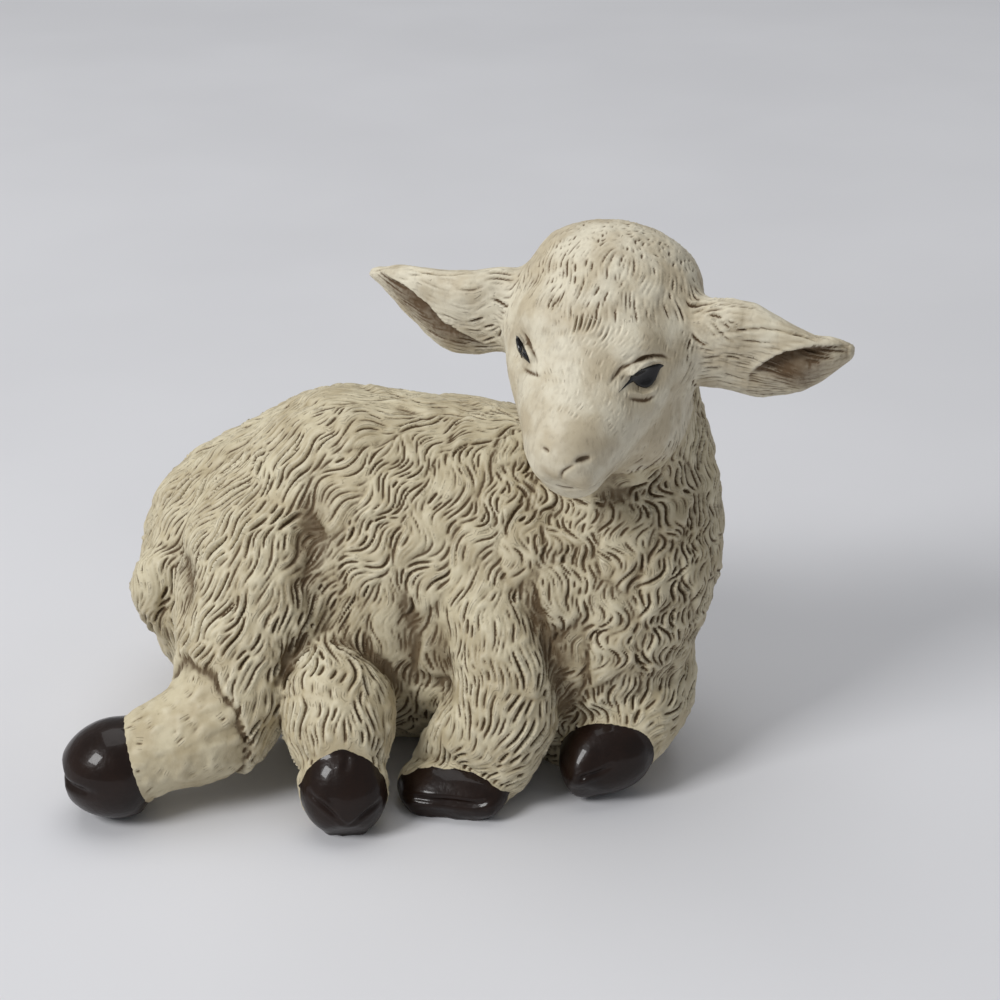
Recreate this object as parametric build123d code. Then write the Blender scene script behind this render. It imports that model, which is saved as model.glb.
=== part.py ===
from build123d import *
import os
from math import cos, radians, sin

# A lying lamb ornament, cast in resin and painted.
# The lamb lies along X with its rump at -X, its head over the +X end and turned towards -Y.
# Left and right are the lamb's own sides, so its right side is the one that faces -Y.
# Every piece is a smooth loft through ovals, cut to seat on the piece that carries it.
# All lengths are in millimetres and all angles in degrees.

# Body casting: barrel, breast and neck
BODY_LENGTH = 50.0
BODY_WIDTH = 27.5
BODY_HEIGHT = 29.0
NECK_WIDTH = 18.6
NECK_DEPTH = 19.6
NECK_HEIGHT = 38.0
GIRTH_SHARE = 0.44
NECK_PLACE_SHARES = (0.325, -0.155)
# along the length, across the width, half width, top, bottom
BARREL_SHARES = (
    (-0.500, 0.17, 0.14, 0.57, 0.34),
    (-0.480, 0.17, 0.25, 0.65, 0.22),
    (-0.435, 0.16, 0.36, 0.745, 0.08),
    (-0.365, 0.145, 0.44, 0.825, -0.02),
    (-0.245, 0.115, 0.485, 0.955, -0.05),
    (-0.085, 0.075, 0.50, 1.015, -0.05),
    (0.085, 0.02, 0.49, 1.00, -0.05),
    (0.225, -0.055, 0.455, 0.97, -0.05),
    (0.335, -0.11, 0.38, 0.86, 0.00),
    (0.400, -0.145, 0.28, 0.72, 0.10),
    (0.435, -0.155, 0.15, 0.58, 0.22),
)
# up the height, along and across from the neck's place, half width, half depth
NECK_SHARES = (
    (-0.04, -0.12, 0.05, 0.30, 0.34),
    (0.18, -0.07, 0.00, 0.37, 0.46),
    (0.36, -0.03, -0.02, 0.44, 0.50),
    (0.52, 0.00, 0.00, 0.47, 0.47),
    (0.72, 0.00, 0.03, 0.41, 0.38),
    (0.87, -0.01, 0.01, 0.35, 0.30),
    (1.00, -0.02, -0.05, 0.27, 0.225),
)

# Head: its long axis runs from the crown down to the nose
HEAD_LENGTH = 22.5
HEAD_WIDTH = 16.4
HEAD_DEPTH = 15.6
HEAD_YAW = 19.5
HEAD_DROP = 42.0
HEAD_ROLL = 4.0
CROWN_RISE = 7.0
CROWN_PLACE_SHARES = (0.02, 0.11)
# along the length, half width, towards the face, towards the jaw
HEAD_SHARES = (
    (0.00, 0.19, 0.17, 0.17),
    (0.05, 0.36, 0.29, 0.31),
    (0.14, 0.455, 0.385, 0.43),
    (0.27, 0.49, 0.44, 0.51),
    (0.42, 0.50, 0.44, 0.54),
    (0.56, 0.46, 0.40, 0.52),
    (0.68, 0.365, 0.35, 0.46),
    (0.79, 0.275, 0.31, 0.39),
    (0.89, 0.22, 0.27, 0.31),
    (0.965, 0.18, 0.21, 0.22),
    (1.00, 0.11, 0.13, 0.13),
)

# Ears: cupped leaves, hollow towards the front and down
EAR_LENGTH = 12.2
EAR_WIDTH = 9.4
EAR_THICKNESS = 4.6
EAR_WALL = 1.1
EAR_ROOT = 3.0
EAR_SWEEP = 0.0
EAR_LIFT = 10.0
EAR_TURN = 78.0
EAR_PLACE_SHARES = (0.35, 0.46, -0.06)
EAR_HOLLOW_SHARES = (0.32, 0.94)
# along the length, half width, half thickness
EAR_SHARES = (
    (0.00, 0.33, 0.42),
    (0.20, 0.42, 0.50),
    (0.42, 0.50, 0.50),
    (0.64, 0.43, 0.44),
    (0.83, 0.29, 0.35),
    (0.95, 0.15, 0.24),
    (1.00, 0.07, 0.14),
)

# Eyes: almond beads set in sockets at the sides of the face
EYE_LENGTH = 3.6
EYE_HEIGHT = 2.2
EYE_THICKNESS = 2.4
EYE_PROUD = 0.4
EYE_ANGLE = 47.0
EYE_SLANT = 24.0
EYE_PLACE_SHARE = 0.585
# along the length, half height, half thickness
EYE_SHARES = (
    (-0.50, 0.06, 0.06),
    (-0.42, 0.24, 0.26),
    (-0.22, 0.45, 0.46),
    (0.00, 0.50, 0.50),
    (0.22, 0.45, 0.46),
    (0.42, 0.24, 0.26),
    (0.50, 0.06, 0.06),
)

# Tail: a short lobe that hangs on the rump
TAIL_LENGTH = 9.5
TAIL_WIDTH = 5.2
TAIL_DEPTH = 4.8
TAIL_PLACE_SHARES = (-0.43, -0.10, 0.62)
# down the length, outwards by the depth, half width, half depth
TAIL_SHARES = (
    (0.00, -0.10, 0.32, 0.34),
    (0.22, 0.22, 0.46, 0.47),
    (0.52, 0.30, 0.50, 0.50),
    (0.80, 0.12, 0.40, 0.42),
    (1.00, -0.10, 0.20, 0.22),
)

# Collars, where the hair ends and the hoof starts, and the hooves below them
COLLAR_WIDTH = 7.4
COLLAR_DEPTH = 7.2
COLLAR_HEIGHT = 4.5
HOOF_LENGTH = 6.0
CLEFT_WIDTH = 0.7
CLEFT_DEPTH = 1.5
# along the length, half width and half depth by the collar's own
HOOF_SHARES = (
    (0.00, 1.00, 1.00),
    (0.22, 1.07, 1.06),
    (0.55, 1.00, 0.98),
    (0.82, 0.78, 0.76),
    (1.00, 0.46, 0.46),
)

# Right hind leg: thigh on the flank, shank laid back along the ground
RIGHT_HIND_LENGTH = 18.0
RIGHT_HIND_WIDTH = 18.0
RIGHT_HIND_DEPTH = 15.0
RIGHT_HIND_HEADING = 84.0
RIGHT_HIND_DIP = 8.0
RIGHT_HIND_HOOF_SHARE = 0.97
RIGHT_HIND_PLACE_SHARES = (-0.254, 0.05, 0.70)
RIGHT_HIND_COLLAR_SHARES = (-0.61, -0.98, 0.98, 0.53, 0.55)
# along and across by the length, down to the collar, half width, half depth
RIGHT_HIND_SHARES = (
    (0.00, 0.00, 0.00, 0.34, 0.36),
    (-0.02, -0.27, 0.15, 0.43, 0.42),
    (-0.07, -0.49, 0.36, 0.405, 0.42),
    (-0.14, -0.63, 0.58, 0.33, 0.36),
    (-0.21, -0.77, 0.79, 0.275, 0.33),
    (-0.39, -0.89, 0.91, 0.24, 0.285),
)

# Left hind leg: comes out under the belly towards -Y
LEFT_HIND_LENGTH = 16.0
LEFT_HIND_WIDTH = 10.0
LEFT_HIND_DEPTH = 10.0
LEFT_HIND_HEADING = -4.0
LEFT_HIND_DIP = 40.0
LEFT_HIND_HOOF_SHARE = 1.0
LEFT_HIND_PLACE_SHARES = (-0.294, -0.11, 0.28)
LEFT_HIND_COLLAR_SHARES = (0.51, -0.89, 1.04, 0.455, 0.49)
LEFT_HIND_SHARES = (
    (0.00, 0.00, 0.00, 0.44, 0.44),
    (0.22, -0.31, -0.15, 0.47, 0.46),
    (0.425, -0.53, -0.30, 0.50, 0.50),
    (0.49, -0.75, 0.30, 0.46, 0.45),
)

# Right fore leg: folded at the knee in front of the belly
RIGHT_FORE_LENGTH = 13.0
RIGHT_FORE_WIDTH = 10.6
RIGHT_FORE_DEPTH = 10.6
RIGHT_FORE_HEADING = 24.0
RIGHT_FORE_DIP = 18.0
RIGHT_FORE_HOOF_SHARE = 0.72
RIGHT_FORE_PLACE_SHARES = (0.086, -0.18, 0.63)
RIGHT_FORE_COLLAR_SHARES = (-0.12, -0.77, 0.46, 0.61, 0.29)
RIGHT_FORE_SHARES = (
    (0.00, 0.00, 0.00, 0.50, 0.50),
    (0.11, -0.31, 0.19, 0.50, 0.50),
    (0.21, -0.53, 0.45, 0.46, 0.46),
    (0.12, -0.67, 0.73, 0.45, 0.40),
)

# Left fore leg: folded under the breast
LEFT_FORE_LENGTH = 10.0
LEFT_FORE_WIDTH = 9.6
LEFT_FORE_DEPTH = 9.6
LEFT_FORE_HEADING = 35.0
LEFT_FORE_DIP = 28.0
LEFT_FORE_HOOF_SHARE = 0.9
LEFT_FORE_PLACE_SHARES = (0.350, -0.11, 0.25)
LEFT_FORE_COLLAR_SHARES = (-0.16, -0.95, 0.96, 0.49, 0.45)
LEFT_FORE_SHARES = (
    (0.00, 0.00, 0.00, 0.48, 0.48),
    (0.09, -0.40, -0.10, 0.49, 0.49),
    (0.01, -0.70, 0.30, 0.46, 0.46),
)

# Room that the block which levels the underside leaves around the ornament
CUT_OVERRUN = 10.0


def oval(plane, half_width, up, down):
    """A closed outline of an upper and a lower half ellipse around the plane's origin."""
    upper = EllipticalCenterArc((0, 0), half_width, up, 0, arc_size=180)
    lower = EllipticalCenterArc((0, 0), half_width, down, 180, arc_size=180)
    return plane * Wire([upper, lower])


def across(origin, normal, wide):
    """A plane square to normal, with its X as near to the direction wide as it can be."""
    normal = normal.normalized()
    return Plane(origin=origin, x_dir=wide - normal * wide.dot(normal), z_dir=normal)


def turned(vector, about, angle):
    """The vector turned about a direction."""
    return vector.rotate(Axis((0, 0, 0), about), angle)


def body_point(shares):
    """A place on the body, given as shares of its length, width and height."""
    along, aside, up = shares
    return Vector(along * BODY_LENGTH, aside * BODY_WIDTH, up * BODY_HEIGHT)


def make_barrel():
    outlines = []
    for along, aside, half_width, top, bottom in BARREL_SHARES:
        plane = Plane(body_point((along, aside, GIRTH_SHARE)), x_dir=(0, 1, 0), z_dir=(1, 0, 0))
        rise = (top - GIRTH_SHARE) * BODY_HEIGHT
        fall = (GIRTH_SHARE - bottom) * BODY_HEIGHT
        outlines.append(oval(plane, half_width * BODY_WIDTH, rise, fall))
    return Solid.make_loft(outlines)


def neck_point(along, aside, up):
    """A place on the neck, given as shares of its own width, depth and height."""
    along_place, aside_place = NECK_PLACE_SHARES
    foot = body_point((along_place, aside_place, 0))
    return foot + Vector(along * NECK_WIDTH, aside * NECK_DEPTH, up * NECK_HEIGHT)


def make_neck():
    outlines = []
    for up, along, aside, half_width, half_depth in NECK_SHARES:
        depth = half_depth * NECK_DEPTH
        outlines.append(oval(Plane(neck_point(along, aside, up)), half_width * NECK_WIDTH, depth, depth))
    return Solid.make_loft(outlines)


def head_frame():
    """The head's own frame: X from crown to nose, Y to the lamb's left, Z out of the face."""
    along, aside = CROWN_PLACE_SHARES
    crown = neck_point(along, aside, 1) + Vector(0, 0, CROWN_RISE)
    heading = turned(Vector(0, -1, 0), (0, 0, 1), -HEAD_YAW)
    left = turned(Vector(1, 0, 0), (0, 0, 1), -HEAD_YAW)
    axis = turned(heading, left, HEAD_DROP)
    left = turned(left, axis, -HEAD_ROLL)
    return Plane(crown, x_dir=axis, z_dir=axis.cross(left))


def head_point(frame, along, left, out):
    return frame.from_local_coords(Vector(along, left, out))


def make_head(frame):
    outlines = []
    for along, half_width, face, jaw in HEAD_SHARES:
        plane = Plane(head_point(frame, along * HEAD_LENGTH, 0, 0), x_dir=frame.y_dir, z_dir=frame.x_dir)
        outlines.append(oval(plane, half_width * HEAD_WIDTH, face * HEAD_DEPTH, jaw * HEAD_DEPTH))
    return Solid.make_loft(outlines)


def make_leaf(plane, length, width, thickness, shares):
    """A pointed loft along the plane's X, as wide as its Y and as thick as its Z."""
    outlines = []
    for along, half_width, half_thickness in shares:
        centre = plane.from_local_coords(Vector(along * length, 0, 0))
        section = Plane(centre, x_dir=plane.y_dir, z_dir=plane.x_dir)
        rise = half_thickness * thickness
        outlines.append(oval(section, half_width * width, rise, rise))
    return Solid.make_loft(outlines)


def make_ear(frame, side):
    """One ear: side is 1 for the lamb's left ear and -1 for its right ear."""
    along, aside, out = EAR_PLACE_SHARES
    root = head_point(
        frame, along * HEAD_LENGTH, side * (aside * HEAD_WIDTH - EAR_ROOT), out * HEAD_DEPTH
    )
    outwards = turned(frame.y_dir * side, frame.x_dir, -side * EAR_SWEEP)
    outwards = turned(outwards, frame.z_dir, side * EAR_LIFT)
    opening = turned(across(root, outwards, frame.z_dir).x_dir, frame.y_dir, EAR_TURN)
    plane = across(root, opening, outwards)
    reach = EAR_LENGTH + EAR_ROOT
    ear = make_leaf(plane, reach, EAR_WIDTH, EAR_THICKNESS, EAR_SHARES)
    start, end = EAR_HOLLOW_SHARES
    mouth = plane.offset(EAR_THICKNESS / 2)
    mouth = Plane(mouth.from_local_coords(Vector(start * reach, 0, 0)), x_dir=plane.x_dir, z_dir=plane.z_dir)
    depth = (EAR_THICKNESS - EAR_WALL) * 2
    hollow = make_leaf(mouth, (end - start) * reach, EAR_WIDTH - EAR_WALL * 2, depth, EAR_SHARES)
    return ear - hollow


def make_eye(frame, side):
    """One eye: side is 1 for the lamb's left eye and -1 for its right eye."""
    rows = [row for row in HEAD_SHARES if row[0] <= EYE_PLACE_SHARE]
    after = HEAD_SHARES[len(rows)]
    before = rows[-1]
    blend = (EYE_PLACE_SHARE - before[0]) / (after[0] - before[0])
    half_width = (before[1] + (after[1] - before[1]) * blend) * HEAD_WIDTH
    face = (before[2] + (after[2] - before[2]) * blend) * HEAD_DEPTH
    left = side * half_width * cos(radians(EYE_ANGLE))
    out = face * sin(radians(EYE_ANGLE))
    surface = head_point(frame, EYE_PLACE_SHARE * HEAD_LENGTH, left, out)
    outwards = frame.y_dir * (left / half_width ** 2) + frame.z_dir * (out / face ** 2)
    outwards = outwards.normalized()
    centre = surface - outwards * (EYE_THICKNESS / 2 - EYE_PROUD)
    lid = turned(across(centre, outwards, frame.y_dir * side).x_dir, outwards, side * EYE_SLANT)
    return make_leaf(across(centre, outwards, lid), EYE_LENGTH, EYE_HEIGHT, EYE_THICKNESS, EYE_SHARES)


def make_tail():
    root = body_point(TAIL_PLACE_SHARES)
    outlines = []
    for down, out, half_width, half_depth in TAIL_SHARES:
        centre = root - Vector(out * TAIL_DEPTH, 0, down * TAIL_LENGTH)
        plane = Plane(centre, x_dir=(0, 1, 0), z_dir=(0, 0, -1))
        depth = half_depth * TAIL_DEPTH
        outlines.append(oval(plane, half_width * TAIL_WIDTH, depth, depth))
    return Solid.make_loft(outlines)


def make_leg(place_shares, collar_shares, path_shares, length, width, depth, heading, dip, hoof_share):
    """One leg and its hoof: the leg ends on the collar plane, where the hoof starts."""
    root = body_point(place_shares)
    collar_x, collar_y, collar_up, collar_half_width, collar_half_depth = collar_shares
    drop = root.Z - collar_up * COLLAR_HEIGHT
    out_x, out_y = -sin(radians(heading)), -cos(radians(heading))
    hoof_axis = Vector(out_x * cos(radians(dip)), out_y * cos(radians(dip)), -sin(radians(dip)))
    hoof_wide = Vector(-out_y, out_x, 0)
    points = [root + Vector(x * length, y * length, -z * drop) for x, y, z, _, _ in path_shares]
    points.append(root + Vector(collar_x * length, collar_y * length, -drop))
    steps = len(path_shares)
    outlines = []
    for step, (_, _, _, half_width, half_depth) in enumerate(path_shares):
        tangent = points[step + 1] - points[max(step - 1, 0)]
        wide = Vector(1, 0, 0) * (steps - step) + hoof_wide * step
        rise = half_depth * depth
        outlines.append(oval(across(points[step], tangent, wide), half_width * width, rise, rise))
    half_width, rise = collar_half_width * COLLAR_WIDTH, collar_half_depth * COLLAR_DEPTH
    collar = across(points[-1], hoof_axis, hoof_wide)
    outlines.append(oval(collar, half_width, rise, rise))
    return Solid.make_loft(outlines), make_hoof(collar, half_width, rise, hoof_share * HOOF_LENGTH)


def make_hoof(collar, half_width, rise, length):
    outlines = []
    for along, wide, deep in HOOF_SHARES:
        outlines.append(oval(collar.offset(along * length), wide * half_width, deep * rise, deep * rise))
    toe = collar.offset(length)
    cleft = toe * Box(CLEFT_WIDTH, rise * 4, CLEFT_DEPTH * 2)
    return Solid.make_loft(outlines) - cleft


def ground_block():
    """Everything below the surface that the ornament rests on."""
    size = (BODY_LENGTH + BODY_WIDTH + CUT_OVERRUN) * 2
    return Pos(0, 0, -size / 2) * Box(size, size, size)


def make_pieces():
    """Every piece by name, each cut to seat on the ones before it."""
    ground = ground_block()
    frame = head_frame()
    legs = {
        "right_hind": make_leg(
            RIGHT_HIND_PLACE_SHARES, RIGHT_HIND_COLLAR_SHARES, RIGHT_HIND_SHARES, RIGHT_HIND_LENGTH,
            RIGHT_HIND_WIDTH, RIGHT_HIND_DEPTH, RIGHT_HIND_HEADING, RIGHT_HIND_DIP, RIGHT_HIND_HOOF_SHARE,
        ),
        "left_hind": make_leg(
            LEFT_HIND_PLACE_SHARES, LEFT_HIND_COLLAR_SHARES, LEFT_HIND_SHARES, LEFT_HIND_LENGTH,
            LEFT_HIND_WIDTH, LEFT_HIND_DEPTH, LEFT_HIND_HEADING, LEFT_HIND_DIP, LEFT_HIND_HOOF_SHARE,
        ),
        "right_fore": make_leg(
            RIGHT_FORE_PLACE_SHARES, RIGHT_FORE_COLLAR_SHARES, RIGHT_FORE_SHARES, RIGHT_FORE_LENGTH,
            RIGHT_FORE_WIDTH, RIGHT_FORE_DEPTH, RIGHT_FORE_HEADING, RIGHT_FORE_DIP, RIGHT_FORE_HOOF_SHARE,
        ),
        "left_fore": make_leg(
            LEFT_FORE_PLACE_SHARES, LEFT_FORE_COLLAR_SHARES, LEFT_FORE_SHARES, LEFT_FORE_LENGTH,
            LEFT_FORE_WIDTH, LEFT_FORE_DEPTH, LEFT_FORE_HEADING, LEFT_FORE_DIP, LEFT_FORE_HOOF_SHARE,
        ),
    }
    body = make_barrel() + make_neck() - ground
    tail = make_tail() - body
    pieces = {"body": body, "tail": tail}
    carriers = [body, tail]
    for name, (leg, hoof) in legs.items():
        leg = leg - ground
        hoof = hoof - ground
        for carrier in carriers:
            leg = leg - carrier
            hoof = hoof - carrier
        pieces[name + "_leg"] = leg
        pieces[name + "_hoof"] = hoof - leg
        carriers = carriers + [leg, hoof]
    eyes = {"left_eye": make_eye(frame, 1), "right_eye": make_eye(frame, -1)}
    head = make_head(frame)
    ears = {"left_ear": make_ear(frame, 1) - head, "right_ear": make_ear(frame, -1) - head}
    head = head - body
    for eye in eyes.values():
        head = head - eye
    return {**pieces, "head": head, **ears, **eyes}


def main():
    os.makedirs("parts", exist_ok=True)
    pieces = make_pieces()
    box = Compound(list(pieces.values())).bounding_box()
    centring = Pos(-box.center().X, -box.center().Y, -box.min.Z)
    print("size", box.size, "moved by", centring.position)
    for name, piece in pieces.items():
        export_step(centring * piece, os.path.join("parts", name + ".step"))


main()
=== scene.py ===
# %% [markdown]
# # A lying lamb in painted resin
# The real thing is a small casting: a lamb with its legs folded, cream paint, a thin brown wash that
# settled in the carved wool, and dark glossy hooves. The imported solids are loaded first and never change.
# They say where everything is, and the dressed pieces below take their places.

# %% Load the frame
import math

import bmesh
import bpy
import numpy as np
from mathutils import Matrix, Vector, noise
from mathutils.bvhtree import BVHTree
from mathutils.kdtree import KDTree


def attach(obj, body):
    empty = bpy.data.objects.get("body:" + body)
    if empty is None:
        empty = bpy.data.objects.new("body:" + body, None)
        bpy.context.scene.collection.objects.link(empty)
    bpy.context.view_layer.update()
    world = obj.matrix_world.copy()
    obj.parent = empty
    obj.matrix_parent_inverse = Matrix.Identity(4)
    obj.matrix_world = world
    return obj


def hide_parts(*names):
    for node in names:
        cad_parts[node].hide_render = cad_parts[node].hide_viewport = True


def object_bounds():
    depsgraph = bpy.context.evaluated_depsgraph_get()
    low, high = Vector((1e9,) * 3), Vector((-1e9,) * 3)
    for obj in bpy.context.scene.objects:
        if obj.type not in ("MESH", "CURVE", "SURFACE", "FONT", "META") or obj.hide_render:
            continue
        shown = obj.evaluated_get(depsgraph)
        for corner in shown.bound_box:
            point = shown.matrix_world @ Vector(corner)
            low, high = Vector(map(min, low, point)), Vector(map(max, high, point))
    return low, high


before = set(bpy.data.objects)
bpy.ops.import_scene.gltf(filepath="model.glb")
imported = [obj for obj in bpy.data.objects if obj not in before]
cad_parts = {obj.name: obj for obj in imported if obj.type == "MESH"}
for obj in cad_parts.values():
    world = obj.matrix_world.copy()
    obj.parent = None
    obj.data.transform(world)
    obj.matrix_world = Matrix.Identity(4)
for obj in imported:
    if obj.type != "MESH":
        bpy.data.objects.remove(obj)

MM = 0.001
CAD_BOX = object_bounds()
BOX_LOW = np.array(CAD_BOX[0]) / MM
BOX_SIZE = (np.array(CAD_BOX[1]) - np.array(CAD_BOX[0])) / MM
NODES = sorted(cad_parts)
print("the solids:", len(NODES), "box in mm:", BOX_SIZE.round(2))

# %% [markdown]
# ## Camera, light and floor
# The camera comes before any modelling, because folds, outlines and borders are placed through it. A long
# lens stands about 20 cm away and looks down by 25 degrees. A soft lamp at the front left gives the shadow
# on the right, a wide one overhead lights the back and the crown, and an even pale world fills the rest.
# Together they are at a level where a colour renders about as it is written.

# %% Camera
CAMERA_PLACE = Vector((4.25, -171.85, 102.4)) * MM
CAMERA_DROP = math.radians(25)
CAMERA_LENS = 81
CAMERA_SENSOR = 36

lens = bpy.data.cameras.new("camera")
lens.lens = CAMERA_LENS
lens.sensor_width = CAMERA_SENSOR
lens.clip_start = 0.01
camera = bpy.data.objects.new("camera", lens)
camera.location = CAMERA_PLACE
camera.rotation_euler = (math.pi / 2 - CAMERA_DROP, 0, 0)
bpy.context.scene.collection.objects.link(camera)
bpy.context.scene.camera = camera

# %% Lamps and world
KEY_FROM = Vector((-0.62, -0.47, 0.63))
KEY_DISTANCE = 0.6
KEY_SIZE = 0.20
KEY_POWER = 2.1
TOP_FROM = Vector((-0.05, 0.25, 1.0))
TOP_DISTANCE = 0.8
TOP_SIZE = 0.7
TOP_POWER = 2.4
WORLD_COLOUR = (0.95, 0.97, 1.0, 1.0)
WORLD_STRENGTH = 0.29


def area_lamp(name, direction, distance, size, power):
    """A square lamp that faces the origin from a direction."""
    light = bpy.data.lights.new(name, "AREA")
    light.size = size
    light.energy = power
    lamp = bpy.data.objects.new(name, light)
    lamp.location = direction.normalized() * distance
    lamp.rotation_euler = direction.to_track_quat("Z", "Y").to_euler()
    bpy.context.scene.collection.objects.link(lamp)
    return lamp


area_lamp("key", KEY_FROM, KEY_DISTANCE, KEY_SIZE, KEY_POWER)
area_lamp("top", TOP_FROM, TOP_DISTANCE, TOP_SIZE, TOP_POWER)
world = bpy.data.worlds.new("soft world")
world.use_nodes = True
world.node_tree.nodes["Background"].inputs["Color"].default_value = WORLD_COLOUR
world.node_tree.nodes["Background"].inputs["Strength"].default_value = WORLD_STRENGTH
bpy.context.scene.world = world
bpy.context.scene.view_settings.view_transform = "Standard"

# %% [markdown]
# ## Writing shaders as sums
# Every finish below is a few lines of arithmetic on masks. A small class wraps a socket, so that masks
# can be added and multiplied like numbers, and one method makes any other node.

# %% Sockets that can be added and multiplied


def linear(red, green, blue):
    """A colour as it is read off a screen, 0 to 255, in the linear values that a shader takes."""
    channels = []
    for value in (red, green, blue):
        share = value / 255
        channels.append(share / 12.92 if share <= 0.04045 else ((share + 0.055) / 1.055) ** 2.4)
    return (*channels, 1.0)


class Wire:
    """One output socket, with arithmetic that adds Math nodes."""

    def __init__(self, paint, socket):
        self.paint = paint
        self.socket = socket

    def maths(self, operation, first, second=0.0, clamp=False):
        settings = {"operation": operation, "use_clamp": clamp}
        return self.paint.node("ShaderNodeMath", settings, {0: first, 1: second})

    def __add__(self, other):
        return self.maths("ADD", self, other)

    def __radd__(self, other):
        return self.maths("ADD", other, self)

    def __sub__(self, other):
        return self.maths("SUBTRACT", self, other)

    def __rsub__(self, other):
        return self.maths("SUBTRACT", other, self)

    def __mul__(self, other):
        return self.maths("MULTIPLY", self, other)

    def __rmul__(self, other):
        return self.maths("MULTIPLY", other, self)

    def clamped(self):
        return self.maths("ADD", self, 0.0, clamp=True)


class Paint:
    """A material with one Principled shader, and the method that adds any node to it."""

    def __init__(self, name, **constants):
        self.material = bpy.data.materials.new(name)
        self.material.use_nodes = True
        self.tree = self.material.node_tree
        self.shader = self.tree.nodes["Principled BSDF"]
        for socket, value in constants.items():
            self.shader.inputs[socket.replace("_", " ")].default_value = value

    def node(self, kind, settings=None, inputs=None, output=0):
        made = self.tree.nodes.new(kind)
        for key, value in (settings or {}).items():
            setattr(made, key, value)
        for key, value in (inputs or {}).items():
            self.feed(made.inputs[key], value)
        return Wire(self, made.outputs[output])

    def feed(self, socket, value):
        if isinstance(value, Wire):
            self.tree.links.new(value.socket, socket)
        else:
            socket.default_value = value

    def speckle(self, scale, detail=3.0, tall=1.0):
        """Noise from 0 to 1 with lumps of about the given size in millimetres, drawn out upwards."""
        spots = self.node("ShaderNodeTexCoord", output="Object")
        shrink = (1 / (MM * scale), 1 / (MM * scale), 1 / (MM * scale * tall))
        places = self.node("ShaderNodeVectorMath", {"operation": "MULTIPLY"}, {0: spots, 1: shrink})
        return self.node("ShaderNodeTexNoise", {}, {"Vector": places, "Scale": 1.0, "Detail": detail})

    def attribute(self, name):
        """A number kept on the mesh, as the sculpting left it."""
        return self.node("ShaderNodeAttribute", {"attribute_name": name}, output="Fac")

    def ramp(self, value, low, high):
        """Runs from 0 to 1 as the value goes from low to high."""
        settings = {"interpolation_type": "SMOOTHSTEP"}
        return self.node("ShaderNodeMapRange", settings, {"Value": value, "From Min": low, "From Max": high})

    def mix(self, share, first, second):
        """One colour into another."""
        settings = {"data_type": "RGBA"}
        return self.node("ShaderNodeMix", settings, {0: share, 6: first, 7: second}, output=2)

    def bump(self, height, distance, strength=1.0):
        inputs = {"Height": height, "Distance": distance * MM, "Strength": strength}
        return self.node("ShaderNodeBump", {}, inputs)

    def finish(self, **links):
        for socket, value in links.items():
            self.feed(self.shader.inputs[socket.replace("_", " ")], value)
        return self.material


# %% Floor
FLOOR_SIZE = 3.0
FLOOR_DROP = 0.02


def make_floor():
    """A wide pale sheet under the object."""
    shape = bmesh.new()
    bmesh.ops.create_grid(shape, x_segments=1, y_segments=1, size=FLOOR_SIZE / 2)
    bmesh.ops.translate(shape, vec=(0, 0, -FLOOR_DROP * MM), verts=shape.verts[:])
    data = bpy.data.meshes.new("floor")
    shape.to_mesh(data)
    shape.free()
    floor = bpy.data.objects.new("floor", data)
    bpy.context.scene.collection.objects.link(floor)
    paper = Paint("pale paper", Roughness=0.9)
    tone = paper.ramp(paper.speckle(60.0), 0.3, 0.7)
    data.materials.append(paper.finish(
        Base_Color=paper.mix(tone, linear(214, 214, 217), linear(219, 219, 222))))


make_floor()

# %% [markdown]
# ## The head's own directions
# The face is carved in the head's own directions: along it from crown to nose, across it to the lamb's
# left, and out of the face. They come from how the head is turned, dropped and tilted.

# %% Head directions
HEAD_TURN = math.radians(19.5)
HEAD_DROP = math.radians(42)
HEAD_TILT = math.radians(4)
CROWN_SHARES = (0.7294, 0.5265, 0.9446)


def head_directions():
    """Along, left and out as the rows of a matrix."""
    heading = Vector((-math.sin(HEAD_TURN), -math.cos(HEAD_TURN), 0))
    along = heading * math.cos(HEAD_DROP) - Vector((0, 0, 1)) * math.sin(HEAD_DROP)
    left = Vector((math.cos(HEAD_TURN), -math.sin(HEAD_TURN), 0))
    left = Matrix.Rotation(-HEAD_TILT, 3, along) @ left
    return Matrix((along, left, along.cross(left)))


HEAD_ROWS = head_directions()
CROWN = Vector(BOX_LOW + BOX_SIZE * CROWN_SHARES)
HEAD_AXES = np.array(HEAD_ROWS)


def in_head(places):
    """Places as distances along the head, to its left and out of its face."""
    return (places - np.array(CROWN)) @ HEAD_AXES.T


def from_head(along, left, out):
    """A place given in the head's own directions."""
    return CROWN + HEAD_ROWS.transposed() @ Vector((along, left, out))


print("left points down by", round(-HEAD_ROWS[1].z, 3))

# %% [markdown]
# ## One lump of clay
# On a casting no seam shows between a leg and the belly, so the pieces can't be dressed one by one. The
# solids are gathered and remeshed into a single skin, as a modeller presses lumps of clay together, then
# all carving is done on that skin. It is cut up again along the solids' borders at the end.

# %% Gather and remesh
WELD = 0.002
VOXEL = 0.17
PLAIN_FORMS = ("_hoof", "_ear")
CHEEK_PLACE = (13.0, 3.8, -4.6)
CHEEK_RADII = (4.8, 4.2, 5.2)


def add_cheek(lump):
    """A pad of clay under the left cheek, where the face runs into the neck with no edge."""
    turn = HEAD_ROWS.transposed().to_4x4()
    place = Matrix.Translation(from_head(*CHEEK_PLACE)) @ turn @ Matrix.Diagonal((*CHEEK_RADII, 1))
    bmesh.ops.create_icosphere(lump, subdivisions=4, radius=1.0, matrix=place)


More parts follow.
